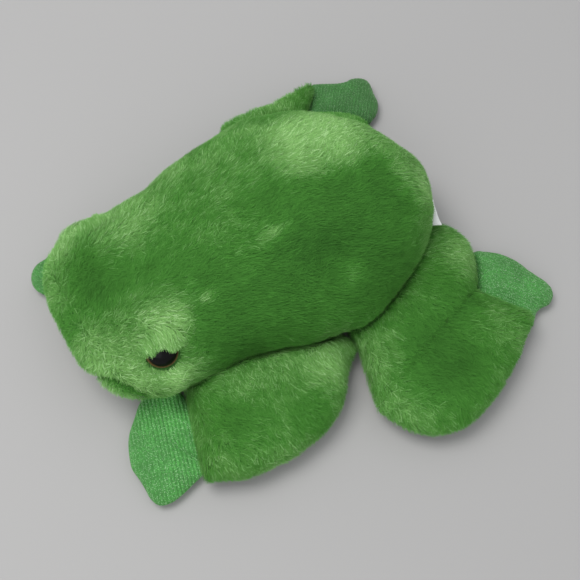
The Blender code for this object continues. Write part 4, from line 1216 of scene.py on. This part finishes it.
class FrogPads(Operator):
    """Hands and feet: thin knitted pads"""

    bl_idname = "frog.pads"
    bl_label = "Hands and Feet"

    def execute(self, context):
        frog = context.scene.frog
        body = body_pillow()
        material = knit_material("ribbed_knit", frog.colours, frog.knit)
        for side in SIDES:
            self.pad(f"hand_{side}", *arm_forms(side, body)[1:], material, frog.knit)
            self.pad(f"foot_{side}", *leg_forms(side, body)[2:], material, frog.knit)
        return {"FINISHED"}

    def pad(self, name, form, line, material, knit):
        """A pillow with ribs parallel to its seam: height + rib height * |sin(pi * distance / pitch)|."""
        skin = closed_skin(form.grid(*PAD_RINGS, 0.2 * MM))
        start, end = line
        along = (end - start) / np.linalg.norm(end - start)
        across = np.array([along[1], -along[0]])
        distance = (skin.points[:, :2] - start) @ across
        rib = np.abs(np.sin(math.pi * distance / knit.rib_pitch))
        flat = ramp(skin.points[:, 2] - 1.5 * MM, 2 * MM) * np.abs(skin.normals[:, 2]) ** 0.5
        soft = 0.35 * MM * lattice_noise(skin.points, 9 * MM, 31)
        lift = (knit.rib_height * (rib - 1.0) + soft - 0.35 * MM) * flat
        skin.points += skin.normals * lift[:, None]
        piece = mesh_object(f"{name}_knit", skin.points, skin.faces, material)
        # Painted light and shade: each pad's own tone, darker away from its seam line, and painted lighter
        # near the cheek, where the cheek shades the left hand
        from_cheek = lengths(skin.points[:, :2] - np.array(CHEEK_SHADOW_PLACE) * MM)
        tone = 1 - 0.2 * ramp(np.abs(distance), 30 * MM) + 0.45 * ramp(22 * MM - from_cheek, 22 * MM)
        point_attributes(piece, pad_tone=PAD_PAINTED_LIGHT[name] * tone, rib_across=distance,
                         rib_along=(skin.points[:, :2] - start) @ along)
        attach(piece, name)
        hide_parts(name)


class FrogEyes(Operator):
    """Domed eyes and their washers"""

    bl_idname = "frog.eyes"
    bl_label = "Eyes"

    def execute(self, context):
        frog = context.scene.frog
        material = eye_material("eye_gloss", frog.colours, frog.eyes)
        radius, height = frog.eyes.diameter / 2, frog.eyes.dome_height
        turn = np.linspace(0.0, 0.5 * math.pi, 20)
        dome = np.column_stack([radius * np.sin(turn), height * np.cos(turn)])
        stem = [(radius, -0.3 * MM), (radius * 0.97, -0.6 * MM), (STEM_RADIUS, -0.6 * MM),
                (STEM_RADIUS, -STEM_LENGTH), (0.0, -STEM_LENGTH)]
        reach, rise = np.vstack([dome, stem]).T[:, :, None]
        around = np.linspace(0.0, 2 * math.pi, 72, endpoint=False)
        grid = np.stack([reach * np.cos(around), reach * np.sin(around), rise + 0 * around], axis=-1)
        for side, (place, axis) in eye_frames(body_pillow()).items():
            turned = np.array(Vector(axis).to_track_quat("Z", "Y").to_matrix())
            skin = closed_skin(grid @ turned.T + place)
            piece = mesh_object(f"eye_{side}_dome", skin.points, skin.faces, material)
            local = (skin.points - place) @ turned
            local[:, :2] -= PUPIL_RAISE_SHARE * radius * unit(turned[2, :2][None])
            point_attributes(piece, eye_radius=lengths(local[:, :2]) / radius)
            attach(piece, "torso")
            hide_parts(f"eye_{side}")
        washer = washer_material("washer_plastic")
        for side in SIDES:
            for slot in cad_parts[f"eye_washer_{side}"].material_slots:
                slot.material = washer
        return {"FINISHED"}


class FrogLabel(Operator):
    """Blank sewn label at the rump: a folded satin tape"""

    bl_idname = "frog.label"
    bl_label = "Label"

    def execute(self, context):
        middle = np.mean([tuple(corner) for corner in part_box("sewn_label")], axis=0)
        outline = body_pillow().outline
        nearest = np.argmin(lengths(outline - middle[:2]))
        tape = outline[(nearest + 1) % len(outline)] - outline[nearest - 1]
        tape = np.append(tape / np.linalg.norm(tape), 0.0)
        out = np.array([tape[1], -tape[0], 0.0])
        out = -out if out[1] < 0 else out
        middle[:2] = outline[nearest] + 0.5 * MM * out[:2]
        skin = self.tape(middle, tape, out)
        piece = mesh_object("label_tape", skin.points, skin.faces, label_material("label_satin"))
        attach(piece, "torso")
        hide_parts("sewn_label")
        return {"FINISHED"}

    def tape(self, middle, tape, out):
        """A tape folded over at its outer edge.

        Its section is a long loop: out = reach * cos(turn), up = half thickness * sin(turn), lifted towards
        the edge. Along the tape the section is moved up and down by a sine, so that the tape waves a little.
        """
        turn = np.linspace(0.0, 2 * math.pi, 40, endpoint=False)
        ends = np.concatenate([[-0.5], np.linspace(-0.5, 0.5, 33), [0.5]])[:, None]
        size = np.concatenate([[0.0], np.ones(33), [0.0]])[:, None]
        squared = np.sign(np.cos(turn)) * np.abs(np.cos(turn)) ** 0.6
        widening = 0.42 + 0.58 * ramp(0.5 + ends * np.sign(tape[0])) ** 1.5
        reach = (0.5 + 0.5 * squared) * LABEL_LENGTH * widening - LABEL_ROOT_DEPTH
        middle_reach = reach.mean(axis=1, keepdims=True)
        reach = middle_reach + (reach - middle_reach) * size
        rise = LABEL_HALF_THICKNESS * np.sin(turn) * size + 0.10 * reach * ramp(reach, 3 * MM)
        rise = rise + 0.35 * MM * np.sin(9.0 * ends + 0.6) * ramp(reach, 4 * MM)
        along = ends * LABEL_WIDTH + 0.0 * reach
        up = np.array([0.0, 0.0, 1.0])
        return closed_skin(middle + along[..., None] * tape + reach[..., None] * out + rise[..., None] * up)


class FrogStage(Operator):
    """Floor, light and camera"""

    bl_idname = "frog.stage"
    bl_label = "Stage"

    def execute(self, context):
        scene = context.scene
        stage = scene.frog.stage
        corners = FLOOR_HALF_WIDTH * np.array([[-1, -1, 0], [1, -1, 0], [1, 1, 0], [-1, 1, 0]])
        floor = mesh_object("floor", corners, np.arange(4)[None], floor_material("floor", scene.frog.colours))
        self.world(scene)
        self.lamp(scene, "key_light", *KEY_LIGHT, stage.key_power)
        self.lamp(scene, "fill_light", *FILL_LIGHT, stage.fill_power)
        turn, rise = math.radians(stage.azimuth), math.radians(stage.elevation)
        back = Vector((math.sin(turn) * math.cos(rise), -math.cos(turn) * math.cos(rise), math.sin(rise)))
        camera = bpy.data.objects.new("camera", bpy.data.cameras.new("camera"))
        camera.location = Vector(CAMERA_AIM) + back * stage.distance
        camera.rotation_euler = back.to_track_quat("Z", "Y").to_euler()
        camera.data.lens = stage.lens
        camera.data.clip_start = 0.01
        scene.collection.objects.link(camera)
        scene.camera = camera
        scene.view_settings.view_transform = "Standard"
        return {"FINISHED"}

    def world(self, scene):
        """Soft light from all round; the camera sees a pale backdrop."""
        scene.world = bpy.data.worlds.new("studio")
        scene.world.use_nodes = True
        tree = scene.world.node_tree
        light = tree.nodes["Background"]
        light.inputs["Color"].default_value = AIR_COLOUR
        light.inputs["Strength"].default_value = AIR_STRENGTH
        backdrop = tree.nodes.new("ShaderNodeBackground")
        backdrop.inputs["Color"].default_value = BACKDROP_COLOUR
        seen = tree.nodes.new("ShaderNodeLightPath")
        mixed = tree.nodes.new("ShaderNodeMixShader")
        tree.links.new(seen.outputs["Is Camera Ray"], mixed.inputs[0])
        tree.links.new(light.outputs[0], mixed.inputs[1])
        tree.links.new(backdrop.outputs[0], mixed.inputs[2])
        tree.links.new(mixed.outputs[0], tree.nodes["World Output"].inputs["Surface"])

    def lamp(self, scene, name, place, size, power):
        """A square soft light that faces the frog."""
        light = bpy.data.lights.new(name, "AREA")
        light.size = size
        light.energy = power
        lamp = bpy.data.objects.new(name, light)
        lamp.location = place
        lamp.rotation_euler = Vector(place).to_track_quat("Z", "Y").to_euler()
        scene.collection.objects.link(lamp)


class FrogPanel(Panel):
    """Lists the frog's pieces and settings"""

    bl_idname = "VIEW3D_PT_frog"
    bl_label = "Plush Frog"
    bl_space_type = "VIEW_3D"
    bl_region_type = "UI"
    bl_category = "Frog"

    def draw(self, context):
        frog = context.scene.frog
        for operator in PIECES:
            self.layout.operator(operator.bl_idname)
        for group in (frog.pile, frog.knit, frog.eyes, frog.colours, frog.stage):
            for name in group.__annotations__:
                self.layout.prop(group, name)


PIECES = (FrogTorso, FrogLimbs, FrogPads, FrogEyes, FrogLabel, FrogStage)
GROUPS = (FrogPileSettings, FrogKnitSettings, FrogEyeSettings, FrogColourSettings, FrogStageSettings,
          FrogSettings)


def register():
    for thing in (*GROUPS, *PIECES, FrogPanel):
        bpy.utils.register_class(thing)
    bpy.types.Scene.frog = PointerProperty(type=FrogSettings)


def unregister():
    del bpy.types.Scene.frog
    for thing in reversed((*GROUPS, *PIECES, FrogPanel)):
        bpy.utils.unregister_class(thing)


def main():
    register()
    for operator in PIECES:
        group, name = operator.bl_idname.split(".")
        getattr(getattr(bpy.ops, group), name)()


if __name__ == "__main__":
    main()
